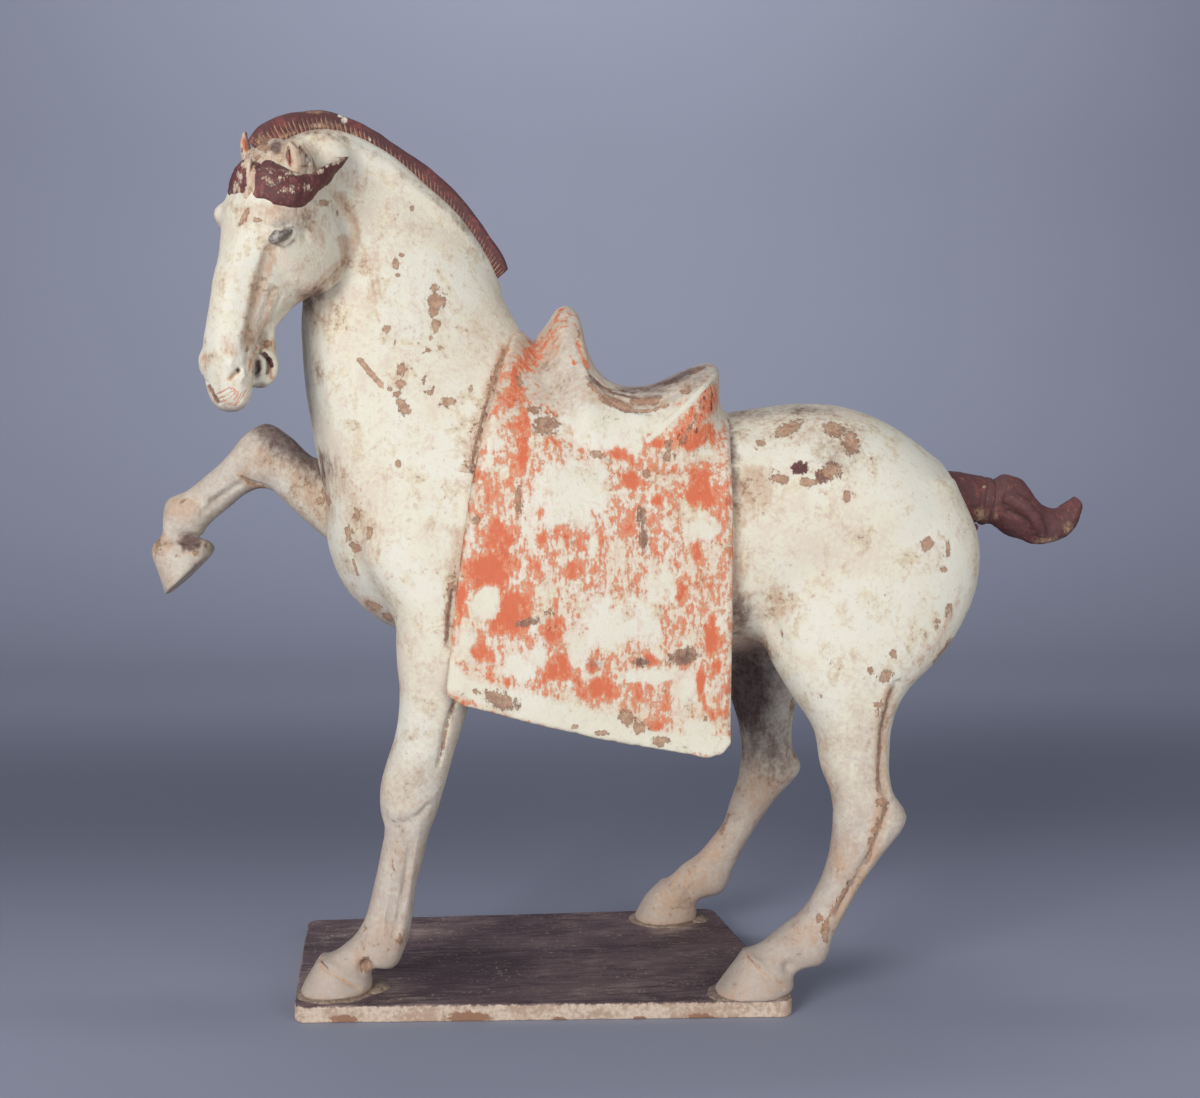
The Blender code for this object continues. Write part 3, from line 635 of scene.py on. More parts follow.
def makeBody():
    form = bmesh.new()
    for name in ("trunk", "nearHindLeg", "farHindLeg", "nearForeleg", "raisedForeleg"):
        loft(form, body[name])
    for name in ("nearHindHoof", "farHindHoof", "nearForeHoof", "raisedHoof"):
        loft(form, body[name], between=body["hoofRings"])
    for name in ("skull", "jaw", "tongue"):
        loft(form, head[name], headFrame, between=head["rings"])
    for centre, radii in head["eggs"]:
        pebble(form, centre, radii, headFrame)
    for radius, path in head["rolls"]:
        for side in (-1, 1):
            strand(form, [(x, side * y, z) for x, y, z in path], [radius] * len(path), headFrame)
    for centre, radii in head["poll"]:
        pebble(form, centre, radii)
    strand(form, body["crest"], body["crestRadii"], points=body["crestPoints"])
    piece = toPiece("body", form, "horse")
    mesh = fused(piece, body["grain"])
    points, _ = read(mesh)
    limbs = nearTo(points, body["limbRoots"])
    *middle, reach = head["mouth"]
    mouth = np.linalg.norm(points - onHead(*middle), axis=1) < reach * unit
    easeCreases(mesh, body["fillets"], ~mouth)
    easeCreases(mesh, head["mouthFillets"], mouth)
    easeCreases(mesh, body["limbFillets"], limbs)
    points, _ = read(mesh)
    refine(mesh, nearTo(points, body["fine"]))
    easeCreases(mesh, body["lastFillets"], renew=body["lastFillets"])
    carve(mesh, head["cuts"], acrossHead)
    carve(mesh, head["nearCuts"] + body["cuts"])
    points, _ = read(mesh)
    shares = np.where(nearTo(points, head["around"]), body["headShare"], 1.0)
    shares[patched(mesh, "body")] = 0.0  # patches keep the finest mesh, so their edges stay sharp
    mesh = thinned(piece, shares, body["triangles"], body["thinning"])
    roughen(mesh, body["uneven"])
    mesh.shade_smooth()
    print("body made:", len(mesh.vertices), "points")
    return piece


# The saddle cloth: edge lines as heights and places along the horse, and how it lies
cloth = {
    "frontZ": [205, 215, 240, 292, 346, 388, 421, 446, 460],
    "frontX": [-54, -55, -52, -47, -39, -29, -19, -10, -7],
    "rearZ": [170, 356, 385, 400],
    "rearX": [129.5, 131, 134.5, 142],
    "hemX": [-60, -53, -44, -8, 43, 81, 114, 123, 129],
    "hemZ": [214, 209.5, 204, 195, 182, 175, 168.5, 171, 178],
    "spineX": [-10, -6, 4, 14, 32, 52, 75, 100, 125, 145],
    "spineZ": [456, 454, 446, 437, 420, 404, 396, 392, 391, 399],
    "spineStart": -8.0,
    "spineRun": 150.0,
    "hemStart": -55.0,
    "hemRun": 184.0,
    "shares": [0.0, 0.3, 1.0],
    "halfWidths": [80, 87, 88],
    "hemHalfWidths": [86, 91, 92],
    "widestZ": 318.0,
    "thickness": 4.8,
    "lap": 12.0,
    "lapFades": 3.0,
    "waist": 0.5,  # share of the way down where it starts to hang
    "flatness": 0.92,
    "drop": 330.0,
    "edgeStep": 0.5,
    "stations": 70,
    "points": 90,
    "grain": 0.0015,
    "fillets": 4,
    "saddleFillets": 45,
    "triangles": 180000,
    "hiddenBelow": -0.2,
    "uneven": [(30, 0.5, 3.0), (6, 0.16, 8.0)],
    "round": 1.6,  # worn radius of its edges
    "paint": 0.44,  # red left everywhere on it, below the saddle's edge
    "paintX": [-40, 0, 20, 40, 90, 130],
    "paintZ": [470, 430, 395, 374, 374, 390],
    "paintFade": 8.0,
    "lip": 0.9,  # soft roll along the front edge
    "lipPlace": 9.0,
    "lipWidth": 4.0,
    "chipLength": 5.0,  # small losses along the hem
    "chipHeight": 2.2,
    "chipFrom": 0.15,
    # worked into the near side, by their place in the photo: width, depth and path
    "cuts": [
        (1.4, 1.1, [(483, 405), (474, 445), (466, 482), (461, 520), (458.5, 558), (454, 600), (449, 635)]),
        (1.7, -0.9, [
            (582, 365), (587, 376), (594, 386), (606, 398), (624, 409), (650, 411), (668, 405),
            (700, 391), (715, 376),
        ]),
        (1.8, 0.9, [(587, 366), (592, 376), (600, 385), (613, 395), (629, 402), (650, 404), (667, 398), (697, 384)]),
        (1.5, 0.6, [(560, 318), (556, 335), (548, 355), (541, 372)]),
        (4.0, -0.8, [(505, 345), (498, 368), (489, 395)]),
        (1.1, 0.6, [(590, 368), (600, 383), (612, 391), (640, 397), (662, 394)]),  # rings of the seat
        (1.1, 0.6, [(588, 361), (597, 376), (611, 386), (640, 391), (664, 388), (690, 377)]),
        (1.4, 0.7, [(576, 335), (580, 350), (586, 366)]),
    ],
}


def clothPoint(station, reach, side, thinner):
    spineX = cloth["spineStart"] + station * cloth["spineRun"]
    top = np.interp(spineX, cloth["spineX"], cloth["spineZ"]) - thinner * cloth["lap"]
    widest = np.interp(station, cloth["shares"], cloth["halfWidths"])
    hemY = np.interp(station, cloth["shares"], cloth["hemHalfWidths"])
    if reach < cloth["waist"]:
        angle = reach / cloth["waist"] * pi / 2
        y = (widest - thinner * cloth["lap"]) * power(sin(angle), cloth["flatness"])
        z = cloth["widestZ"] + (top - cloth["widestZ"]) * power(cos(angle), cloth["flatness"])
    else:
        fall = (reach - cloth["waist"]) / (1 - cloth["waist"])
        free = cloth["thickness"]
        y = widest + (hemY - widest) * fall
        y -= thinner * (free + (cloth["lap"] - free) * max(0, 1 - cloth["lapFades"] * fall))
        hemX = cloth["hemStart"] + station * cloth["hemRun"]
        z = cloth["widestZ"] + (np.interp(hemX, cloth["hemX"], cloth["hemZ"]) - cloth["widestZ"]) * fall
    front = np.interp(z, cloth["frontZ"], cloth["frontX"])
    rear = np.interp(z, cloth["rearZ"], cloth["rearX"])
    return np.array((front + (rear - front) * station, side * y, z))


def spread(count, length, fine, close):  # shares of a length, closer together near both ends
    even = np.linspace(0, 1, count)
    ends = np.arange(0, fine, close) / length
    return np.unique(np.round(np.concatenate([ends, even, 1 - ends]), 5))


def easedIn(distance, radius):  # how far a rounded edge lies behind its face
    short = np.clip(radius - distance, 0, radius)
    return radius - np.sqrt(radius**2 - short**2)


def layCloth(form):
    length, width, close = cloth["hemRun"], cloth["drop"], cloth["edgeStep"]
    reaches = spread(cloth["points"], width, 2 * cloth["round"], close)
    reaches = np.concatenate([-reaches[::-1], reaches[1:]])
    rings = []
    for station in spread(cloth["stations"], length, 2 * cloth["round"], close):
        run = station * length
        fromEnd = min(station, 1 - station) * length
        lip = cloth["lip"] * np.exp(-(((run - cloth["lipPlace"]) / cloth["lipWidth"]) ** 2))
        bite = waver(run / cloth["chipLength"], 0, 0) - cloth["chipFrom"]
        chip = max(0, bite) * cloth["chipHeight"]
        outer, inner = [], []
        for reach in reaches:
            side = 1 if reach > 0 else -1
            out = clothPoint(station, abs(reach), side, 0)
            back = clothPoint(station, abs(reach), side, 1)
            inward = (back - out) / np.linalg.norm(back - out)
            sink = easedIn(min(fromEnd, (1 - abs(reach)) * width), cloth["round"])
            raised = np.array((0, 0, chip * np.clip((abs(reach) - 0.98) * 50, 0, 1)))
            outer.append(place(*(out + inward * (sink - lip) + raised)))
            inner.append(place(*(back + raised)))
        rings.append(outer + inner[::-1])
    bridge(form, rings)


# The saddle, from the front of its pommel to the back of its cantle
saddle = {
    "between": 10,
    "points": 110,
    "meets": 356.0,  # lowest height of the clay worked in round it
    "sections": [
        (7, 448, 22, 300, 0, 50, 2.0),
        (14.5, 457.5, 28, 300, 0, 60, 1.8),
        (21, 467.5, 33, 300, 0, 68, 1.6),
        (29, 470.5, 37, 300, 0, 74, 1.42),
        (35.5, 465, 40, 300, 0, 75.5, 1.5),
        (39.5, 446, 42, 300, 0, 76, 1.95),
        (46, 427.5, 44, 300, 0, 76, 2.6),
        (57, 416, 46, 300, 0, 76, 3.2),
        (78, 413, 49, 300, 0, 76, 3.4),
        (96, 418.5, 52, 300, 0, 76, 3.3),
        (112, 426, 55, 300, 0, 76.5, 3.0),
        (127, 430, 58, 300, 0, 77, 2.7),
        (131.5, 427, 63, 300, 0, 77, 2.4),
        (131.5, 414, 78, 300, 0, 75, 2.4),
        (131.5, 404, 98, 300, 0, 73, 2.4),
        (133, 395, 118, 300, 0, 72, 2.4),
    ],
}


def makeSaddleCloth():
    form = bmesh.new()
    layCloth(form)
    loft(form, saddle["sections"], between=saddle["between"], points=saddle["points"])
    piece = toPiece("saddleCloth", form, "horse")
    mesh = fused(piece, cloth["grain"])
    points, _ = read(mesh)
    easeCreases(mesh, cloth["fillets"])
    easeCreases(mesh, cloth["saddleFillets"], points[:, 2] > place(0, 0, saddle["meets"]).z)
    carve(mesh, cloth["cuts"])
    points, normals = read(mesh)
    hidden = np.sign(points[:, 1]) * normals[:, 1] < cloth["hiddenBelow"]
    mesh = thinned(piece, hidden.astype(float), cloth["triangles"])  # only the inner faces are made coarser
    roughen(mesh, cloth["uneven"])
    mesh.shade_smooth()
    print("saddle cloth made:", len(mesh.vertices), "points")
    return piece


# The hogged mane: outer x, outer z, root x, root z, centre y
mane = {
    "thickness": 10.0,
    "square": 3.0,
    "between": 55,
    "points": 48,
    "lineGap": 3.3,  # the incised lines
    "lineDepth": 0.9,
    "lineWidth": 0.55,
    "lineWander": 0.8,
    "lineTop": 0.55,
    "lineTopWander": 0.25,
    "rim": 0.35,  # the groove along its upper edge
    "rimPlace": 0.62,
    "rimWidth": 0.07,
    "wear": 1.1,
    "uneven": [(9, 0.35, 21.0)],
    "line": [
        (-180, 566.5, -172, 558.5, -53),
        (-176, 573.5, -166, 557.5, -52),
        (-168.5, 580, -158, 561, -50),
        (-159, 585, -149.5, 565, -46.5),
        (-147, 588.7, -140, 568, -42),
        (-135.6, 590.8, -130, 569, -37.5),
        (-120, 588.8, -115, 565, -31),
        (-104, 583, -98, 557, -25),
        (-85, 572, -79, 543, -18),
        (-64, 559, -62, 527, -12),
        (-43.5, 540.5, -47, 508, -7),
        (-25, 516.5, -34, 494, -4),
        (-14.5, 500.5, -27.5, 485, -2.5),
        (-12.4, 494.5, -24.5, 483.5, -2),
    ],
}


def makeMane():
    half = mane["thickness"] / 2
    rows = smoothRows([(*row, half) for row in mane["line"]], mane["between"])
    form = bmesh.new()
    rings, cuts = [], []
    gap, run, last = mane["lineGap"], 0.0, None
    for fx, fz, bx, bz, y, halfWidth in rows:
        top = np.array((fx, y, fz))
        run += 0.0 if last is None else np.linalg.norm(top - last)
        last = top
        wobble = waver(run / 6, 0, 0) * mane["lineWander"]
        line = np.exp(-((((run + wobble) % gap - gap / 2) / mane["lineWidth"]) ** 2))
        ring = []
        for j in range(mane["points"]):
            angle = 2 * pi * j / mane["points"]
            along = power(cos(angle), 2 / mane["square"])
            across = power(sin(angle), 2 / mane["square"])
            reach = waver(run / 4, 3.0 if across > 0 else 9.0, 0) * mane["lineTopWander"]
            cut = line * np.clip((mane["lineTop"] + reach - along) * 4, 0, 1) * mane["lineDepth"]
            rim = mane["rim"] * np.exp(-(((along - mane["rimPlace"]) / mane["rimWidth"]) ** 2))
            cuts.append(cut / mane["lineDepth"] if abs(across) > 0.5 else 0.0)
            wide = halfWidth * abs(across) - (cut + rim) * (abs(across) > 0.5)
            x = (fx + bx) / 2 + along * (fx - bx) / 2
            z = (fz + bz) / 2 + along * (fz - bz) / 2
            ring.append(place(x, y + np.sign(across) * wide, z))
        rings.append(ring)
    bridge(form, rings)
    piece = toPiece("mane", form, "horse")
    lines = piece.data.attributes.new("lines", "FLOAT", "POINT")
    lines.data.foreach_set("value", cuts)
    roughen(piece.data, mane["uneven"])
    print("mane made:", len(piece.data.vertices), "points")
    return piece


# The forelock lies over the brow in two lobes, with the ears behind it
forelock = {
    "nearLobe": [
        (-174.5, 536, -174.5, 521, -80, 5, 2.2),
        (-171, 542.5, -171.5, 519.5, -81.5, 7, 2.5),
        (-164, 548.5, -164.5, 519.5, -82.5, 8.5, 2.8),
        (-158, 546.7, -158.5, 518.5, -82.5, 9, 2.8),
        (-151, 543.5, -152, 518, -81.5, 9, 2.6),
        (-144, 542, -145, 519.5, -77.5, 9, 2.6),
        (-138, 543, -138, 525.5, -71.5, 9, 2.6),
        (-132, 548.5, -133, 534.5, -65, 8, 2.6),
        (-127, 552.5, -128, 541, -59, 7.5, 2.4),
        (-122, 557.5, -123.5, 549.5, -52.5, 6.5, 2.4),
        (-116.5, 559.5, -117.5, 556.5, -47, 3.5, 2.0),
    ],
    "farLobe": [
        (-192, 533, -192.5, 524.5, -57, 4, 2.0),
        (-190, 539.5, -190.5, 520.5, -62.5, 6.5, 2.3),
        (-186.5, 545.4, -187.5, 519, -67, 8, 2.5),
        (-182.3, 549, -183, 518, -71.5, 8.5, 2.5),
        (-178, 551, -179, 518.5, -75, 8.5, 2.5),
        (-174.5, 551, -175, 521, -77.5, 7.5, 2.3),
    ],
    "parting": [
        (-170.5, -77, 547), (-172.5, -81, 541), (-174.3, -83.5, 534), (-175.5, -84, 527), (-176.5, -83, 520),
    ],
    "partingRadii": [2.2, 3.0, 3.0, 2.8, 2.0],
    "partingPoints": 20,
    "between": 14,
    "points": 48,
    "uneven": [(6, 0.8, 31.0), (2.5, 0.25, 33.0)],
}


def makeForelock():
    form = bmesh.new()
    for lobe in ("nearLobe", "farLobe"):
        loft(form, forelock[lobe], between=forelock["between"], points=forelock["points"])
    strand(form, forelock["parting"], forelock["partingRadii"], points=forelock["partingPoints"])
    piece = toPiece("forelock", form, "horse")
    roughen(piece.data, forelock["uneven"])
    return piece


# The folded near ear in two leaves, and the tip of the far one
ears = {
    "near": [
        (-156.5, 542, -140.5, 541, -70, 10, 2.2),
        (-156.3, 550.5, -141, 550.5, -71.5, 9, 2.2),
        (-155.4, 556.5, -143, 555.3, -73, 7.5, 2.2),
        (-153.7, 560.3, -146.3, 559.5, -74, 5, 2.1),
        (-151.7, 562.4, -149, 562, -75, 2.5, 2.0),
    ],
    "nearBack": [
        (-150, 542, -134.5, 541, -61, 10, 2.2),
        (-149, 550, -136, 549.5, -62.5, 9, 2.2),
        (-147.5, 557, -139, 556.5, -65, 6.5, 2.1),
        (-146, 562, -143, 561.8, -67, 3, 2.0),
    ],
    "far": [
        (-184.5, 549, -174, 548, -46, 7, 2.0),
        (-186, 561.5, -178.8, 561, -45, 5.5, 2.0),
        (-185.9, 569, -180.6, 568.5, -45, 4, 2.0),
        (-184.4, 574, -182, 574, -45, 2, 2.0),
    ],
    "cuts": [(0.9, 1.8, [(289, 146), (289.5, 154), (289.5, 163)])],
    "between": 30,
    "points": 90,
    "uneven": [(5, 0.5, 41.0)],
}


def makeEars():
    form = bmesh.new()
    for ear in ("near", "nearBack", "far"):
        loft(form, ears[ear], between=ears["between"], points=ears["points"])
    piece = toPiece("ears", form, "horse")
    carve(piece.data, ears["cuts"])
    roughen(piece.data, ears["uneven"])
    return piece


# The eyes, set between the lids, by their place on the head
eyes = {
    "centre": (-18.0, 25.4, 502.3),
    "radii": (8.8, 3.0, 4.4),
    "tilt": radians(-28),
    "turn": radians(14),
    "fineness": 5,
    "uneven": [(4, 0.25, 45.0)],
}


def makeEyes():
    form = bmesh.new()
    x, y, z = eyes["centre"]
    for side in (-1, 1):
        turned = Matrix.Rotation(side * eyes["turn"], 4, "Z") @ Matrix.Rotation(eyes["tilt"], 4, "Y")
        socket = headFrame @ Matrix.Translation((x, side * y, z)) @ turned
        pebble(form, (0, 0, 0), eyes["radii"], socket, eyes["fineness"])
    piece = toPiece("eyes", form, "horse")
    roughen(piece.data, eyes["uneven"])
    return piece


# The tied tail
tail = {
    "bands": [(326, 1.1, 1.3), (332.5, 1.1, 1.3)],  # the tie: place along x, width and depth
    "bandLean": 0.16,
    "bandHeight": 333.0,
    "lock": [(338, -14, 336), (347, -17, 333), (356, -16.5, 325), (364, -13.5, 315), (369, -11, 309)],
    "lockRadii": [4, 5.5, 5.5, 4.5, 2.5],
    "lockPoints": 20,
    "slit": [(341, -15, 326), (350, -18, 320), (358, -17, 311), (363, -14, 305)],
    "slitWidth": 2.2,
    "slitDepth": 2.5,
    "nub": ((318, -9, 315), (3, 3, 3)),
    "grain": 0.0009,
    "fillets": 12,
    "between": 12,
    "points": 64,
    "uneven": [(9, 0.9, 51.0), (3, 0.25, 53.0)],
    "sections": [
        (286, 353, 290, 312, 0, 18, 2.0),
        (308, 355, 309, 316, 0, 15, 2.0),
        (322, 352, 322, 317.5, 0, 13.5, 2.0),
        (330, 351, 329, 316, 0, 14, 2.0),
        (336, 350, 334, 317, 0, 13, 2.0),
        (342, 352, 338, 314, 0, 16, 2.0),
        (353, 350, 346, 309, 0, 17, 2.0),
        (362.5, 341, 356, 305.5, 0, 14, 2.0),
        (371, 331, 369, 302, 0, 11.5, 2.0),
        (382, 328, 386, 306, 0, 9.5, 2.0),
        (390, 334, 397.5, 316, 0, 8, 2.0),
        (396, 337, 401, 329, 0, 6, 2.0),
    ],
}


def makeTail():
    form = bmesh.new()
    loft(form, tail["sections"], between=tail["between"], points=tail["points"])
    strand(form, tail["lock"], tail["lockRadii"], points=tail["lockPoints"])
    pebble(form, *tail["nub"])
    piece = toPiece("tail", form, "horse")
    mesh = fused(piece, tail["grain"])
    easeCreases(mesh, tail["fillets"])
    points, normals = read(mesh)
    groove(points, normals, [place(*p) for p in tail["slit"]], tail["slitWidth"], tail["slitDepth"])
    lean = (points[:, 2] - place(0, 0, tail["bandHeight"]).z) * tail["bandLean"]
    for x, width, depth in tail["bands"]:
        near = np.abs(points[:, 0] - lean - x * unit) / (width * unit)
        points -= normals * (depth * unit * np.exp(-(near**2)))[:, None]
    write(mesh, points)
    roughen(mesh, tail["uneven"])
    mesh.shade_smooth()
    return piece


# The slab: hand cut, its corners as shares of half its length and half its width
slab = {
    "corners": [(-0.917, -0.861), (1.018, -1.040), (0.887, 0.960), (-0.982, 0.931)],
    "length": 0.336,
    "width": 0.202,
    "corner": 0.009,
    "cornerSteps": 12,
    "edge": 0.0014,
    "edgeSteps": 6,
    "around": 700,
    "topRings": 70,
    "sideRings": 12,
    "cutIn": 0.0006,  # the sides' cut surface: how far in, and its waves per metre and depths
    "cutWaves": [((60, 60, 90), 0.0006), ((260, 260, 260), 0.0003)],
    "sag": 0.0003,  # the top sinks a little, unevenly
    "sagWaves": (25, 60),
    "topSkin": 0.0004,
}


def roundedOutline(corners, radius, steps):
    outline = []
    for i, corner in enumerate(corners):
        toLast = (corners[i - 1] - corner).normalized()
        toNext = (corners[(i + 1) % len(corners)] - corner).normalized()
        half = toLast.angle(toNext) / 2
        middle = corner + (toLast + toNext).normalized() * radius / sin(half)
        start = corner + toLast * radius / tan(half) - middle
        sweep = pi - 2 * half
        for j in range(steps + 1):
            outline.append(middle + Matrix.Rotation(sweep * j / steps, 2) @ start)
    return outline


def makeSlab():
    corners = [Vector((x * slab["length"] / 2, y * slab["width"] / 2)) for x, y in slab["corners"]]
    outline = np.array(roundedOutline(corners, slab["corner"], slab["cornerSteps"]))
    closed = np.concatenate([outline, outline[:1]])
    run = np.concatenate([[0], np.cumsum(np.linalg.norm(np.diff(closed, axis=0), axis=1))])
    even = np.linspace(0, run[-1], slab["around"], endpoint=False)
    outline = np.stack([np.interp(even, run, closed[:, k]) for k in (0, 1)], 1)
    ahead = np.roll(outline, -1, 0) - np.roll(outline, 1, 0)
    outward = np.stack([ahead[:, 1], -ahead[:, 0]], 1)
    outward /= np.linalg.norm(outward, axis=1)[:, None]
    high, edge = slabHigh.z, slab["edge"]
    turns = np.linspace(0, pi / 2, slab["edgeSteps"])
    profile = [(edge * (1 - sin(a)), edge * (1 - cos(a))) for a in turns]
    profile += [(0.0, z) for z in np.linspace(edge, high - edge, slab["sideRings"])[1:-1]]
    profile += [(edge * (1 - cos(a)), high - edge * (1 - sin(a))) for a in turns]
    rings = []
    for inset, z in profile:
        ring = []
        for (x, y), (ox, oy) in zip(outline, outward):
            rough = sum(waver(x * i, y * j, z * k) * deep for (i, j, k), deep in slab["cutWaves"])
            inward = inset + slab["cutIn"] + rough
            ring.append((x - ox * inward, y - oy * inward, z))
        rings.append(ring)
    edgeRing = np.array(rings[-1])
    for share in np.linspace(0, 1, slab["topRings"] + 1)[1:-1]:
        ring = edgeRing * (1 - share, 1 - share, 1)
        rings.append([tuple(point) for point in ring])
    form = bmesh.new()
    bridge(form, rings)
    piece = toPiece("slab", form, "base_slab")
    points, _ = read(piece.data)
    top = points[:, 2] > high - slab["topSkin"]
    along, across = slab["sagWaves"]
    sag = np.array([waver(x * along, y * across, 0) for x, y, _ in points[top]])
    points[top, 2] -= slab["sag"] * (0.6 + sag)
    write(piece.data, points)
    print("slab made:", len(points), "points")
    return piece


# Clay smeared round the hooves, on the slab
hoofClay = {
    "smears": [
        ((-130, -60), (27.5, 24.5)), ((-107, -56), (14, 13)), ((143, -87), (28.5, 24.5)), ((167, -84), (12, 14)),
        ((108, 74), (27.5, 24.5)), ((131, 72), (11, 12)),
    ],
    "height": 2.8,
    "sink": 0.4,
    "fineness": 5,
    "waves": (90, 260),  # unevenness of the rim, in waves per metre
    "ragged": 0.05,
    "reach": 36.0,
    "inset": 0.0018,  # how far inside the slab's edge it ends, in metres
    "depth": 0.004,
}


def makeHoofClay():
    form = bmesh.new()
    foot = (slabHigh.z - horseLow.z) / unit + figure["sole"] - hoofClay["sink"]
    for (x, y), (long, wide) in hoofClay["smears"]:
        pebble(form, (x, y, foot), (long, wide, hoofClay["height"]), fineness=hoofClay["fineness"])
    piece = toPiece("hoofClay", form, "base_slab")
    points, _ = read(piece.data)
    wide, close = hoofClay["waves"]
    uneven = np.array([noise.noise(Vector(p) * wide) + noise.noise(Vector(p) * close) * 0.5 for p in points])
    for (x, y), _ in hoofClay["smears"]:
        middle = np.array(place(x, y, foot))
        mine = np.linalg.norm((points - middle)[:, :2], axis=1) < hoofClay["reach"] * unit
        points[mine, :2] += ((points - middle)[:, :2] * hoofClay["ragged"] * uneven[:, None])[mine]
    points[:, 2] = np.maximum(points[:, 2], slabHigh.z - hoofClay["depth"])
    corners = np.array(slab["corners"]) * (slab["length"] / 2, slab["width"] / 2)
    for corner, after in zip(corners, np.roll(corners, -1, 0)):
        ahead = (after - corner) / np.linalg.norm(after - corner)
        outward = np.array((ahead[1], -ahead[0]))
        beyond = (points[:, :2] - corner) @ outward + hoofClay["inset"]
        points[:, :2] -= np.maximum(beyond, 0)[:, None] * outward
    write(piece.data, points)
    return piece


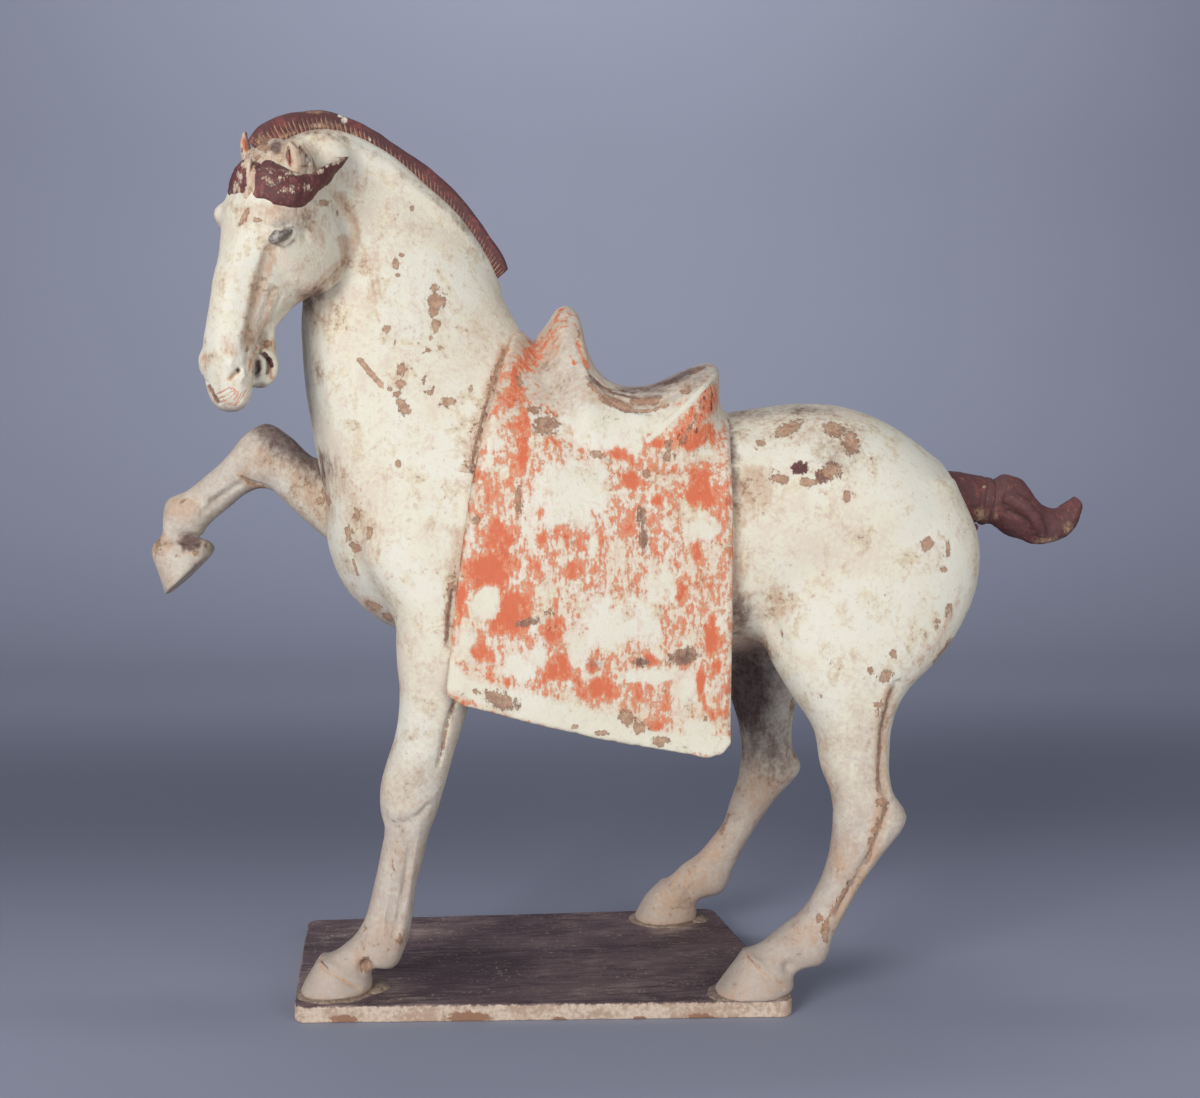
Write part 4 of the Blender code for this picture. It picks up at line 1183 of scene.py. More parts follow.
# Wear, paint and painted shade, placed in pixels of the photograph. A spot is across, down, two radii
# and if need be a strength and a tilt in degrees; a line is a width, a path and if need be a strength.
marks = {
    "body": {
        "bare": [
            (396, 264, 4.5, 6), (402, 255, 3, 2.5), (399, 275, 3.5, 2.5, 0.9), (435, 288, 5, 5), (437, 302, 10, 12),
            (434, 311, 6, 8), (436, 326, 5.5, 9), (431, 338, 2.5, 4), (387, 329, 5, 5), (395, 342, 2, 4, 0.8),
            (440, 348, 3, 3), (428, 350, 2.5, 3), (3.2, [(360, 360), (370, 372), (381, 385)], 1.1),
            (402, 370, 8, 8, 0.8), (401, 384, 6, 5), (390, 389, 3.5, 3), (397, 394, 4.5, 3), (401, 403, 4.5, 6),
            (405, 410, 7, 6), (430, 393, 3.5, 3), (424, 381, 2, 2), (448, 402, 8.5, 5.5), (471, 389, 3, 5),
            (398, 464, 4, 5, 0.9), (357, 515, 3.5, 8), (349, 533, 5.5, 9, 0.9), (369, 533, 4, 9), (356, 548, 6, 5),
            (352, 545, 3, 3), (374, 606, 10, 5, 1, 20), (389, 617, 8, 4, 1, 20), (1.8, [(353, 560), (358, 575)]),
            (320, 500, 6, 5), (2.5, [(323, 492), (329, 503)]), (788, 429, 18, 7, 1, -25), (834, 429, 13, 9, 1, 20),
            (851, 442, 9, 17, 1, -15), (761, 443, 6, 4), (831, 471, 13, 10, 1, -20), (808, 482, 11, 5),
            (779, 479, 11, 4.5, 1, 10), (847, 496, 4.5, 7), (927, 544, 7, 9, 1, 35), (948, 548, 3, 10),
            (944, 570, 3.5, 3), (949, 608, 4, 8, 0.8, 20), (938, 621, 4.5, 3), (893, 654, 4.5, 5),
            (885, 676, 9, 7, 1, -30), (878, 705, 5.5, 3), (870, 672, 4, 5, 0.8),
            (3, [(951, 640), (942, 654), (934, 664)], 0.8), (821, 696, 1.8, 1.8), (782, 634.5, 1.8, 1.8),
            (2, [(890, 690), (880, 730), (877, 790)], 0.75), (882, 802, 8, 5, 0.9),
            (2.5, [(885, 808), (876, 836), (866, 864)], 0.85), (2.2, [(878, 818), (870, 842)], 0.7),
            (2.5, [(848, 886), (836, 906), (824, 926)], 0.8), (826, 932, 5, 12, 0.9, 10), (820, 918, 4, 6, 0.8),
            (2, [(908, 836), (890, 860), (872, 884)], 0.6), (792, 706, 2.5, 9), (796, 753, 4, 7),
            (2.5, [(729, 815), (721, 833)], 0.8), (1.6, [(455, 700), (447, 726), (441, 756)], 0.9),
            (393.5, 866, 1.6, 1.6), (392, 873.5, 1.4, 1.4), (322, 963, 1.6, 1.8), (365, 930, 2.5, 5, 0.7),
            (388, 950, 3, 2, 0.8), (400, 938, 2, 7, 0.8), (366, 965, 7.5, 8), (244, 217, 3.4, 10, 1, 30),
            (257, 220, 4.5, 3), (323, 203, 7, 4, 1, -10), (337, 213, 2, 4, 0.7), (343, 262, 3, 5, 0.8, 20),
            (412, 208, 3, 4, 0.75), (237, 476, 1, 1), (2, [(241, 476), (252, 484), (263, 487)], 0.8),
            (3, [(451, 585), (448, 612), (446, 640)], 0.9), (268, 344, 6, 4.5, 0.95), (184, 501, 5, 2, 0.7, -30),
            (158, 545, 4, 8, 0.6), (176, 556, 2, 2, 0.9), (195, 553, 3.5, 3, 0.9), (206, 545, 2, 2, 0.8),
            (263, 147, 9, 7, 0.8), (258, 158, 6, 4, 0.7), (2.4, [(209, 386), (213, 393), (217.5, 401)], 0.95),
            (247, 349, 2, 5, 0.7), (300, 210, 8, 4, 0.5),
            (2.4, [(504, 352), (496, 372), (489, 395), (481, 420), (476, 445), (470, 470)], 0.85),
        ],
        "wash": [
            (9, [(271, 252), (266, 264), (260, 281), (255, 303), (251, 326), (248, 340)], 1.25),
            (5, [(274, 289), (269, 303), (263, 322), (258, 336)], 1.0), (268, 345, 10, 8, 1.5),
            (7, [(340, 197), (355, 222), (354, 246), (346, 260), (335, 271), (324, 282), (302, 297)], 1.3),
            (6, [(343, 240), (347, 252), (343, 264)], 1.5), (325, 132, 34, 8, 0.8), (285, 214, 30, 12, 1.2),
            (318, 226, 14, 16, 0.8), (301, 211, 16, 10, 1.1), (258, 210, 30, 10, 1.0), (250, 214, 10, 14, 1.1, 30),
            (230, 347, 12, 14, 0.8), (272, 262, 8, 16, 0.6), (305, 268, 18, 12, 0.55, -30),
            (330, 240, 14, 22, 0.25), (262, 152, 22, 19, 2.0), (286, 146, 14, 10, 1.2), (372, 262, 16, 22, 0.8),
            (357, 182, 20, 18, 0.6), (378, 232, 14, 10, 0.6), (376, 290, 12, 18, 0.7), (316, 368, 8, 24, 0.8),
            (330, 315, 34, 22, 0.6), (752, 489, 22, 22, 2.0), (8, [(262, 452), (284, 470), (304, 490)], 0.9),
            (437, 312, 16, 26, 0.55), (402, 378, 14, 20, 0.75), (392, 335, 12, 14, 0.55), (413, 430, 10, 12, 0.6),
            (8, [(508, 345), (488, 402), (472, 455), (461, 525), (452, 590), (448, 640)], 1.35),
            (776, 604, 12, 18, 1.0), (795, 612, 14, 14, 0.7), (840, 660, 12, 12, 0.5),
            (8, [(735, 415), (737, 470), (736, 560), (742, 640)], 1.0), (845, 440, 18, 22, 0.8),
            (800, 430, 50, 18, 0.7),
            (8, [(892, 690), (882, 722), (879, 764), (882, 808), (870, 862), (848, 895), (826, 930)], 1.15),
            (5, [(824, 740), (826, 770), (832, 800)], 0.7), (840, 858, 18, 26, 0.9), (806, 934, 24, 16, 0.8),
            (760, 985, 36, 26, 0.6), (5, [(962, 590), (940, 640), (905, 680)], 0.8), (930, 560, 18, 30, 0.5),
            (2.2, [(745, 954), (759, 968), (785, 987)], 1.4),
            (2.2, [(319, 958), (323, 970), (339, 978), (361, 989)], 1.5),
            (2, [(658, 891), (667, 900), (692, 905)], 1.3), (5, [(716, 994), (754, 1010), (790, 1002)], 0.9),
            (5, [(300, 1000), (340, 1006), (372, 992)], 0.9), (5, [(640, 921), (675, 927), (694, 922)], 0.9),
            (314, 487, 22, 26, 1.5), (322, 510, 10, 24, 1.7), (296, 470, 16, 16, 0.9), (340, 485, 16, 22, 0.9),
            (363, 530, 26, 40, 0.7), (182, 509, 20, 16, 1.25), (160, 546, 12, 13, 1.6), (166, 572, 9, 24, 0.6),
            (258, 462, 18, 18, 0.7), (5, [(240, 474), (250, 484), (262, 488)], 1.2), (190, 548, 26, 14, 0.6),
            (372, 606, 22, 12, 0.8, 20), (385, 790, 8, 30, 0.4), (395, 860, 24, 30, 0.5), (410, 800, 26, 16, 0.4),
            (390, 940, 28, 26, 0.7), (2, [(376, 958), (392, 962)], 1.4), (358, 960, 10, 12, 1.0),
            (750, 650, 34, 14, 1.2), (690, 880, 30, 22, 0.9), (675, 905, 26, 22, 1.1), (705, 835, 30, 44, 1.0),
            (760, 790, 26, 40, 0.8), (205, 362, 6, 11, 1.0), (395, 300, 60, 60, 0.25), (960, 520, 12, 40, 0.5),
        ],
        # dirt, and painted shade: under the mane, in the hollow beside the near ear, above the eye, on the raised
        # foreleg's top, on the far hind thigh and along the saddle cloth's edges
        "dirt": [
            (11, [(264, 430), (284, 441), (303, 454), (324, 470)], 1.7),
            (14, [(262, 436), (284, 450), (303, 462), (322, 476)], 0.8), (190, 543, 11, 8, 2.6),
            (309, 303, 7, 14, 1.2), (318, 294, 9, 8, 1.1), (318, 372, 4, 14, 0.7, -10), (257, 370, 4.5, 13, 1.4),
            (261, 385, 9, 4, 1.1), (238, 370.6, 2.6, 2.6, 1.6), (795, 409, 64, 6, 0.9), (755, 413, 26, 8, 0.9),
            (742, 612, 11, 22, 1.1), (4, [(731, 408), (730, 500), (729, 640)], 1.1),
            (3.5, [
                (262, 152), (274, 149), (284, 139), (299, 135), (322, 131), (346, 139), (372, 150), (400, 170),
                (425, 192), (450, 212), (475, 242), (488, 266),
            ], 0.6),
            (276, 147, 6, 8, 1.9), (262, 143, 8, 5, 0.7), (306, 178, 20, 4, 0.6), (750, 655, 34, 9, 1.0),
            (748, 690, 27, 46, 1.8), (764, 745, 30, 34, 1.0), (282, 222, 10, 7, 0.7), (308, 214, 14, 8, 0.6),
            (1.6, [(209, 386), (214, 394), (219, 403)], 0.9), (1.0, [(345, 262), (322, 284), (303, 296)], 0.7),
            (2, [(273, 243), (284, 247), (294, 240)], 0.8), (366, 965, 6, 7, 0.9),
            (1.2, [(321, 961), (330, 971)], 1.2), (828, 932, 6, 9, 0.5), (205, 572, 16, 18, 0.8, -40),
            (204, 548, 12, 7, 0.8), (402, 950, 4, 10, 0.5), (2, [(452, 590), (448, 612), (446, 645)], 1.1),
            (452, 712, 8, 12, 0.7), (1.2, [(746, 955), (760, 968), (782, 984)], 1.0), (405, 925, 10, 22, 0.35),
            (840, 455, 34, 30, 0.5), (2.6, [(263, 354), (268, 359)], 1.6),
            (2, [(214, 500), (224, 494), (236, 487)], 0.9), (1.4, [(488, 398), (474, 452), (464, 520)], 0.9),
        ],
        "red": [
            (1.6, [(257, 347), (253, 356), (249, 368), (247, 378)], 0.9), (2.0, [(271, 364), (271, 377)], 1.0),
            (1.3, [(238, 373), (234, 376), (230, 380)], 1.1), (203, 358, 3, 8, 0.6), (229, 351, 4, 8, 0.5),
            (0.8, [(217, 394), (223, 391), (229, 388), (235, 389)], 1.15),
            (0.8, [(219, 398), (226, 396), (231, 392), (235, 390)], 1.15),
            (0.8, [(221, 402), (228, 400), (233, 395), (237, 391)], 1.15),
            (0.8, [(225, 405), (231, 403), (236, 397), (239, 391)], 1.15),
            (0.8, [(230, 407), (235, 404), (239, 398), (242, 392)], 1.1),
            (0.8, [(235, 406), (239, 402), (243, 396), (246, 390)], 1.1), (232, 396, 14, 9, 0.4),
            (251, 362, 5, 18, 0.55, 10),
        ],
        "maroon": [
            (800, 468, 10, 8), (826, 474, 14, 9, 0.9, -20), (790, 428, 12, 4, 0.6, -25), (842, 432, 8, 6, 0.6),
            (266, 140, 8, 3, 0.7, -20), (256, 146, 3, 4, 0.7), (2.6, [(265, 354), (270, 360), (272, 366)], 1.0),
            (1.2, [(211, 389), (215, 396)], 0.8),
        ],
    },
    "saddleCloth": {
        "red": [
            (510, 396, 11, 20, 0.75), (522, 440, 11, 66, 0.9), (497, 535, 27, 20), (490, 570, 32, 24, 1.2),
            (508, 612, 26, 34, 1.2), (462, 602, 9, 26, 1.1), (480, 652, 18, 16, 0.9), (552, 630, 17, 18, 0.9),
            (556, 668, 26, 19, 1.0), (601, 690, 26, 15, 1.1), (577, 570, 15, 18, 0.85), (626, 528, 13, 14, 0.85),
            (630, 481, 12, 11, 1.15), (618, 454, 16, 9, 0.9), (699, 486, 24, 32, 0.95), (657, 501, 9, 6, 1.1),
            (696, 553, 7, 18, 0.95), (680, 596, 9, 20, 0.8), (712, 636, 8, 26, 1.3), (701, 680, 6, 15, 1.3),
            (716, 667, 5, 12, 1.2), (651, 660, 12, 7, 1.0, 30), (626, 642, 9, 16, 0.8), (666, 703, 9, 16, 0.75),
            (658, 726, 5, 7, 0.8), (640, 690, 22, 14, 0.6), (712, 715, 10, 16, 0.65), (592, 668, 10, 7, 0.9),
            (478, 480, 10, 30, 0.6), (555, 560, 20, 20, 0.5), (690, 440, 30, 26, 0.9), (655, 440, 16, 12, 0.7),
            (718, 540, 8, 14, 0.7), (650, 560, 40, 24, 0.5), (610, 600, 30, 20, 0.55), (470, 505, 8, 16, 0.8),
            (500, 680, 20, 8, 0.6, 10), (560, 470, 26, 14, 0.3),
            # saddle
            (530, 360, 16, 26, 0.85, 30), (515, 380, 10, 24, 0.8, 10), (556, 335, 12, 34, 0.5, 20),
            (2.5, [(561, 310), (548, 335), (535, 370)], 0.75), (2, [(575, 325), (580, 345), (586, 365)], 0.6),
            (708, 400, 11, 22, 0.85, 10), (692, 422, 18, 22, 0.8, 30), (708, 430, 8, 14, 0.7),
            (672, 442, 12, 10, 0.8), (2.2, [(577, 342), (581, 354), (588, 368)], 0.9),
            (2, [(571, 356), (574, 364)], 0.8), (650, 403, 16, 5, 0.35),
        ],
        "white": [
            (487, 604, 15, 17, 1.6), (574, 489, 36, 28, 1.0), (612, 628, 32, 22, 1.0), (663, 582, 14, 22, 0.7),
            (640, 600, 16, 16, 0.4), (655, 676, 30, 7, 1.0), (686, 690, 11, 20, 1.0), (518, 668, 14, 12, 1.1),
            (540, 660, 8, 14, 0.9), (468, 640, 10, 12, 1.0), (474, 505, 8, 14, 0.5), (700, 528, 18, 12, 0.9),
            (9, [(448, 680), (510, 706), (600, 730), (680, 744), (722, 744)], 1.5),
            (9, [(450, 668), (466, 686), (540, 704), (620, 724)], 1.0), (560, 520, 40, 8, 0.5),
            (600, 612, 24, 20, 0.5), (650, 626, 14, 20, 0.7), (545, 590, 10, 10, 0.5), (463, 655, 10, 10, 0.6),
            (596, 480, 16, 22, 0.8), (680, 706, 14, 18, 0.5), (500, 465, 8, 14, 0.4), (700, 728, 26, 12, 0.9),
            (612, 420, 60, 20, 0.9), (556, 372, 22, 40, 0.5, 20), (704, 452, 12, 7, 0.9), (576, 650, 10, 22, 0.8),
            (492, 440, 8, 18, 0.5), (620, 560, 12, 16, 0.4),
            # saddle
            (2.5, [(716, 374), (700, 391), (687, 405), (665, 425), (648, 441)], 1.5), (600, 420, 50, 22, 0.8),
            (690, 455, 30, 8, 0.7),
        ],
        "bare": [
            (546, 425, 15, 13, 0.95), (597, 454, 6.5, 5), (535, 410, 8, 5, 0.8), (646, 474, 4, 6),
            (641, 516, 6, 12, 0.8), (644, 538, 6, 14, 0.9), (684, 656, 18, 9, 1, -15), (642, 662, 9, 5, 0.9),
            (528, 622, 17, 5, 0.8, -10), (500, 700, 22, 10, 0.9, 20), (476, 692, 8, 4, 0.8, 20),
            (627, 718, 9, 12, 0.85, -20), (660, 741, 10, 6), (601, 733, 8, 3), (575, 727, 5, 2.5),
            (640, 728, 8, 8, 0.8), (3, [(702, 402), (692, 424), (680, 444)], 0.6), (668, 446, 5, 10, 0.6, 20),
            (476, 520, 5, 5), (518, 500, 5, 20, 0.7), (668, 456, 10, 8, 0.7), (706, 718, 2, 4),
            (520, 380, 4, 10, 0.8), (550, 612, 10, 5, 0.7),
            # saddle
            (3, [(590, 384), (600, 394)], 0.8), (4.5, [(602, 397), (614, 403), (628, 409)], 1.15),
            (2.2, [(625, 411), (650, 411), (668, 405)], 0.9), (579, 334, 2.6, 5, 0.9),
            (3.5, [(632, 402), (656, 402)], 0.75), (1.6, [(596, 383), (612, 393), (640, 399), (662, 398)], 0.8),
            (1.4, [(590, 376), (606, 389), (636, 393)], 0.7), (697, 371, 12, 3, 0.8, -20),
            (686, 390, 7, 6, 0.85, -20), (672, 382, 12, 3, 0.7, -20),
        ],
        "maroon": [
            (546, 425, 12, 10, 0.55), (2, [(706, 388), (702, 410), (696, 432)], 0.5),
            (1.6, [(712, 392), (711, 416)], 0.5), (1.6, [(694, 404), (686, 424), (676, 440)], 0.45),
            (684, 445, 8, 8, 0.4), (706, 436, 4, 8, 0.45),
        ],
        # dirt, and painted shade along the cloth's front and rear edges
        "dirt": [
            (684, 657, 18, 9, 1.0, -15), (642, 662, 8, 5, 0.9), (528, 622, 16, 5, 0.8, -10), (572, 542, 3, 3, 0.9),
            (500, 702, 24, 9, 0.5, 20), (644, 540, 5, 14, 0.9), (640, 514, 4, 8, 0.8), (596, 664, 10, 7, 0.7),
            (2, [(510, 336), (490, 398), (476, 456), (464, 540), (454, 600), (447, 672)], 0.7),
            (546, 425, 14, 11, 0.5), (606, 458, 9, 3, 0.6, 40), (2.5, [(729, 410), (729, 560), (728, 735)], 0.5),
            # saddle
            (672, 378, 34, 9, 1.4, -20), (640, 390, 34, 5, 1.1), (698, 380, 16, 8, 0.7, -20),
            (2.5, [(590, 378), (606, 390), (630, 397), (660, 396)], 0.9),
            (2, [(586, 376), (604, 399), (622, 411), (650, 415)], 0.8), (700, 370, 16, 6, 0.7, -15),
            (706, 366, 12, 3, 0.6), (528, 340, 10, 7, 0.6, 30), (578, 330, 3, 12, 0.4),
        ],
        "wash": [
            (522, 440, 12, 60, 0.7), (560, 400, 40, 50, 0.3),
            (4, [(512, 338), (493, 398), (480, 452), (467, 540), (456, 610)], 0.7), (520, 350, 16, 20, 0.9),
            (690, 440, 30, 26, 0.6),
            # saddle
            (545, 350, 16, 40, 0.9, 25), (640, 402, 40, 7, 1.3), (568, 315, 12, 14, 0.5),
            (596, 396, 16, 14, 0.9, 40), (612, 414, 16, 6, 0.9, 20), (582, 352, 6, 26, 1.0, -20),
            (706, 410, 16, 40, 0.9, 10), (690, 385, 20, 10, 0.6, -20), (530, 345, 18, 12, 0.9),
            (610, 425, 40, 12, 0.2),
        ],
    },
    "mane": {
        "white": [(344.5, 120, 4.5, 4.5), (317, 126, 8, 2.2), (284, 134, 3, 2), (369, 140, 3, 4), (340, 116, 4, 2)],
        "bare": [
            (356, 137, 3, 8, 0.7, -20), (322, 125, 20, 3, 0.8),
            (2, [(270, 146), (284, 136), (300, 129), (325, 127), (347, 135)], 0.7),
            (2, [(347, 137), (390, 165), (430, 203), (470, 245)], 0.6), (316, 112, 14, 2, 0.7),
            (262, 142, 9, 8, 0.5),
        ],
        "dirt": [
            (3, [(252, 132), (275, 118), (300, 111), (340, 112), (380, 128)], 0.6), (440, 190, 60, 10, 0.3, 40),
        ],
    },
    "forelock": {
        "bare": [
            (342, 159, 4, 2, 0.8, -25), (2, [(262, 168), (280, 170), (300, 174)], 0.5), (228, 200, 4, 3, 0.7),
        ],
        "wash": [
            (4.2, [(249, 160), (251, 172), (251, 186), (247, 202)], 1.6), (237, 188, 6, 8, 0.75, 20),
            (240, 176, 5, 7, 0.6), (268, 178, 7, 9, 0.6), (287, 190, 8, 6, 0.55), (282, 178, 8, 4, 0.45),
            (305, 188, 9, 5, 0.45), (320, 172, 6, 3, 0.6, -30), (338, 161, 9, 3, 0.7, -25), (298, 173, 14, 3, 0.6),
            (246, 166, 6, 5, 0.8),
        ],
        "white": [(321, 171, 2, 2), (327, 166, 1.6, 2), (338, 160, 3.5, 2)],
        "dirt": [
            (269, 176, 9, 8, 0.7), (300, 168, 24, 2.5, 0.7), (233, 194, 6, 6, 0.6), (346, 156, 3, 3, 0.9),
        ],
    },
    "ears": {
        "red": [(290, 158, 1.5, 7, 1.5, -5), (244.5, 144, 2.2, 9, 1.5, -12)],
        "white": [(309, 161, 3.2, 6, 1.6, -15)],
        "bare": [(300, 150, 3, 8, 0.6, -20), (284, 150, 2, 6, 0.5), (305, 166, 8, 2, 0.7)],
        "dirt": [
            (247, 132, 4, 4, 1.2), (2, [(290, 141), (301, 148), (310, 160)], 0.9),
            (1.6, [(288, 146), (287, 156), (290, 166)], 1.1), (2, [(313, 158), (314, 168)], 0.8),
            (292, 155, 14, 14, 0.35),
        ],
        "wash": [(292, 155, 26, 26, 1.7), (246, 145, 10, 24, 1.6)],
        "maroon": [(1.2, [(289, 150), (290, 163)], 0.9), (242, 150, 2, 6, 0.6)],
    },
    "tail": {
        "bare": [
            (981, 515, 7, 8, 0.9), (1048, 541, 16, 5, 0.75), (1068, 527, 7, 6, 0.7), (996, 515, 3, 8, 0.6),
            (984, 487, 2, 2),
        ],
        "dirt": [
            (1015, 505, 4, 16, 0.9, -30), (1003, 490, 1.5, 24, 1.0, 5), (1010, 500, 40, 36, 0.5),
            (1060, 530, 30, 14, 0.35),
        ],
    },
    "slab": {
        "wash": [
            (335, 985, 64, 26, 1.0), (755, 1002, 50, 18, 1.0), (672, 926, 36, 14, 0.9), (700, 960, 50, 30, 0.4),
            (400, 1005, 80, 12, 0.6), (330, 935, 30, 14, 0.6), (3, [(305, 1012), (500, 1010), (790, 1008)], 0.7),
            (400, 930, 60, 12, 0.7), (620, 990, 60, 16, 0.5), (385, 985, 40, 18, 0.8),
        ],
        # painted shadows of the legs, cast across the slab's top
        "dirt": [(480, 966, 90, 12, 1.0, -4), (640, 948, 60, 10, 0.6, -4)],
        "bare": [
            (468, 1018, 26, 8), (560, 1020, 14, 5), (345, 1019, 16, 5), (640, 1019, 12, 4), (700, 1018, 18, 5, 0.8),
        ],
    },
}
farSide = {"shift": (15.0, 0.0, -9.0), "strength": 0.85}  # the back carries the same marks, painted shade among them, moved and weaker
markReach = 1.35  # where a mark has faded out, in its own radii
hollowGain = 5.0
channels = {"wear": ("bare", "wash", "dirt"), "paint": ("red", "maroon", "white", "dust")}


def markStrength(across, down, shapes):
    found = np.zeros(len(across))
    for shape in shapes:
        if isinstance(shape[1], list):
            width, path, strength = *shape, *(1.0,)[len(shape) - 2:]
            points = np.stack([across, down], 1)
            reach = away(points, [np.array(p, float) for p in path]) / width
        else:
            u, v, wide, tall, strength, tilt = *shape, *(1.0, 0.0)[len(shape) - 4:]
            c, s = cos(radians(tilt)), sin(radians(tilt))
            right, low = across - u, down - v
            reach = np.hypot((right * c + low * s) / wide, (low * c - right * s) / tall)
        found = np.maximum(found, np.clip(markReach - reach, 0, 1) * strength)
    return found


def hollows(mesh, rounds=6):  # how far each point lies in a hollow, evened out
    a, b = edgeEnds(mesh)
    points, normals = read(mesh)
    degree = np.bincount(np.concatenate([a, b]), minlength=len(points))
    length = np.linalg.norm(points[a] - points[b], axis=1)
    size = (np.bincount(a, length, len(points)) + np.bincount(b, length, len(points))) / np.maximum(degree, 1)
    hollow = (pulls(points, a, b, degree) * normals).sum(1) / np.maximum(size, 1e-6)
    for _ in range(rounds):
        total = np.bincount(a, hollow[b], len(points)) + np.bincount(b, hollow[a], len(points))
        hollow = (hollow + total) / (degree + 1)
    return hollow


def sidesOf(mesh):  # photo places of the points and of their mirror images, and how far each faces us
    points, normals = read(mesh)
    toCamera = cameraPlace - points
    toCamera /= np.linalg.norm(toCamera, axis=1)[:, None]
    facing = np.clip((normals * toCamera).sum(1) * 5 + 0.2, 0, 1)
    moved = points * (1, -1, 1) + np.array(farSide["shift"]) * unit
    return seenAt(points), seenAt(moved), facing


def patched(mesh, name):  # where sharp-edged patches of paint or bare clay lie
    seen, behind, facing = sidesOf(mesh)
    shapes = [shape for layer in ("bare", "red", "maroon") for shape in marks[name][layer]]
    return np.where(facing > 0.5, markStrength(*seen, shapes), markStrength(*behind, shapes)) > 0.02


def mark(piece, extra):
    mesh = piece.data
    points, _ = read(mesh)
    seen, behind, facing = sidesOf(mesh)
    for name, layers in channels.items():
        values = np.ones((len(points), 4))
        for k, layer in enumerate(layers):
            shapes = marks.get(piece.name, {}).get(layer, [])
            front = markStrength(*seen, shapes)
            back = markStrength(*behind, shapes) * farSide["strength"]
            values[:, k] = front * facing + back * (1 - facing)
            if layer in extra:
                values[:, k] = np.maximum(values[:, k], extra[layer])
        # the fourth channel of wear: how deep in a hollow each point lies, painted as shade
        if name == "wear":
            values[:, 3] = np.clip(hollows(mesh) * hollowGain, 0, 1)
        layerData = mesh.attributes.new(name, "FLOAT_COLOR", "POINT")
        layerData.data.foreach_set("color", values.ravel())


def drawnPlaces(mesh):
    points, normals = read(mesh)
    x, y, z = points.T / unit
    return x, y, z - horseLow.z / unit + figure["sole"], normals


# Grey film, dust and painted shade: where each begins and is full, in drawn millimetres, and how strong it is
filmAndShade = {
    "saddle": (372, 402),
    "onSaddle": 0.6,
    # painted shade on what faces up, on the cloth and saddle
    "seat": 0.9,
    "all": 0.08,
    "low": (250, 100),
    "onLegs": 0.74,
    "foot": (60, 20),
    "onHooves": 0.16,
    "forward": (-135, -185),
    "raisedBelow": 395,
    "onRaisedLeg": 0.7,
    "rumpFrom": 100,
    "shadeOnRumpTop": 0.5,
    "shadeUnderneath": 0.8,
    "far": (20, 40),
    "farBelow": 260,
    "shadeOnFarLegs": 0.5,
}


def ramp(values, ends):
    return np.clip((values - ends[0]) / (ends[1] - ends[0]), 0, 1)


def clothPaint(mesh):  # faint red all over the cloth, but not on the saddle
    x, _, z, _ = drawnPlaces(mesh)
    below = np.interp(x, cloth["paintX"], cloth["paintZ"]) - z
    return cloth["paint"] * np.clip(below / cloth["paintFade"], 0, 1)


def seatShade(mesh):  # painted shade on what faces up, and a darker tone high on the saddle
    _, _, z, normals = drawnPlaces(mesh)
    onSaddle = ramp(z, filmAndShade["saddle"]) * filmAndShade["onSaddle"]
    return np.maximum(np.clip(normals[:, 2] * 1.4 - 0.5, 0, 1) * filmAndShade["seat"], onSaddle)


def bodyDustAndShade(mesh):  # legs and hooves are greyer than the trunk; painted shade darkens the rump's top, the undersides and the far legs
    x, y, z, normals = drawnPlaces(mesh)
    low = filmAndShade["all"] + ramp(z, filmAndShade["low"]) * filmAndShade["onLegs"] + ramp(z, filmAndShade["foot"]) * filmAndShade["onHooves"]
    raised = ramp(x, filmAndShade["forward"]) * (z < filmAndShade["raisedBelow"]) * filmAndShade["onRaisedLeg"]
    up = np.clip(normals[:, 2] * 2 - 1.2, 0, 1) * (x > filmAndShade["rumpFrom"]) * filmAndShade["shadeOnRumpTop"]
    under = np.clip(-normals[:, 2] * 1.5 - 0.3, 0, 1) * filmAndShade["shadeUnderneath"]
    farLegs = ramp(y, filmAndShade["far"]) * (z < filmAndShade["farBelow"]) * filmAndShade["shadeOnFarLegs"]
    return np.max([low, raised, up, under, farLegs], 0)


def maneWear(mesh):  # the incised lines are worn through to the clay
    lines = mesh.attributes["lines"].data
    cuts = np.empty(len(lines))
    lines.foreach_get("value", cuts)
    return cuts * mane["wear"]


makers = [makeBody, makeSaddleCloth, makeMane, makeForelock, makeEars, makeEyes, makeTail, makeSlab, makeHoofClay]
pieces = {piece.name: piece for piece in (make() for make in makers)}

layersByShape = {
    "body": {"dust": bodyDustAndShade},
    "saddleCloth": {"red": clothPaint, "dust": seatShade},
    "mane": {"bare": maneWear},
}
for piece in pieces.values():
    found = layersByShape.get(piece.name, {})
    mark(piece, {layer: work(piece.data) for layer, work in found.items()})
print("wear and paint placed")


# Shader arithmetic
class Value:  # a socket that takes part in expressions
    def __init__(self, paint, socket):
        self.paint, self.socket = paint, socket

    def math(self, operation, first, second):
        return self.paint.node("ShaderNodeMath", {"operation": operation}, {0: first, 1: second})

    def __add__(self, other):
        return self.math("ADD", self, other)

    def __sub__(self, other):
        return self.math("SUBTRACT", self, other)

    def __rsub__(self, other):
        return self.math("SUBTRACT", other, self)

    def __mul__(self, other):
        return self.math("MULTIPLY", self, other)

    __radd__ = __add__
    __rmul__ = __mul__

    def upTo(self, other):
        return self.math("MINIMUM", self, other)

    def other(self, name):
        return Value(self.paint, self.socket.node.outputs[name])


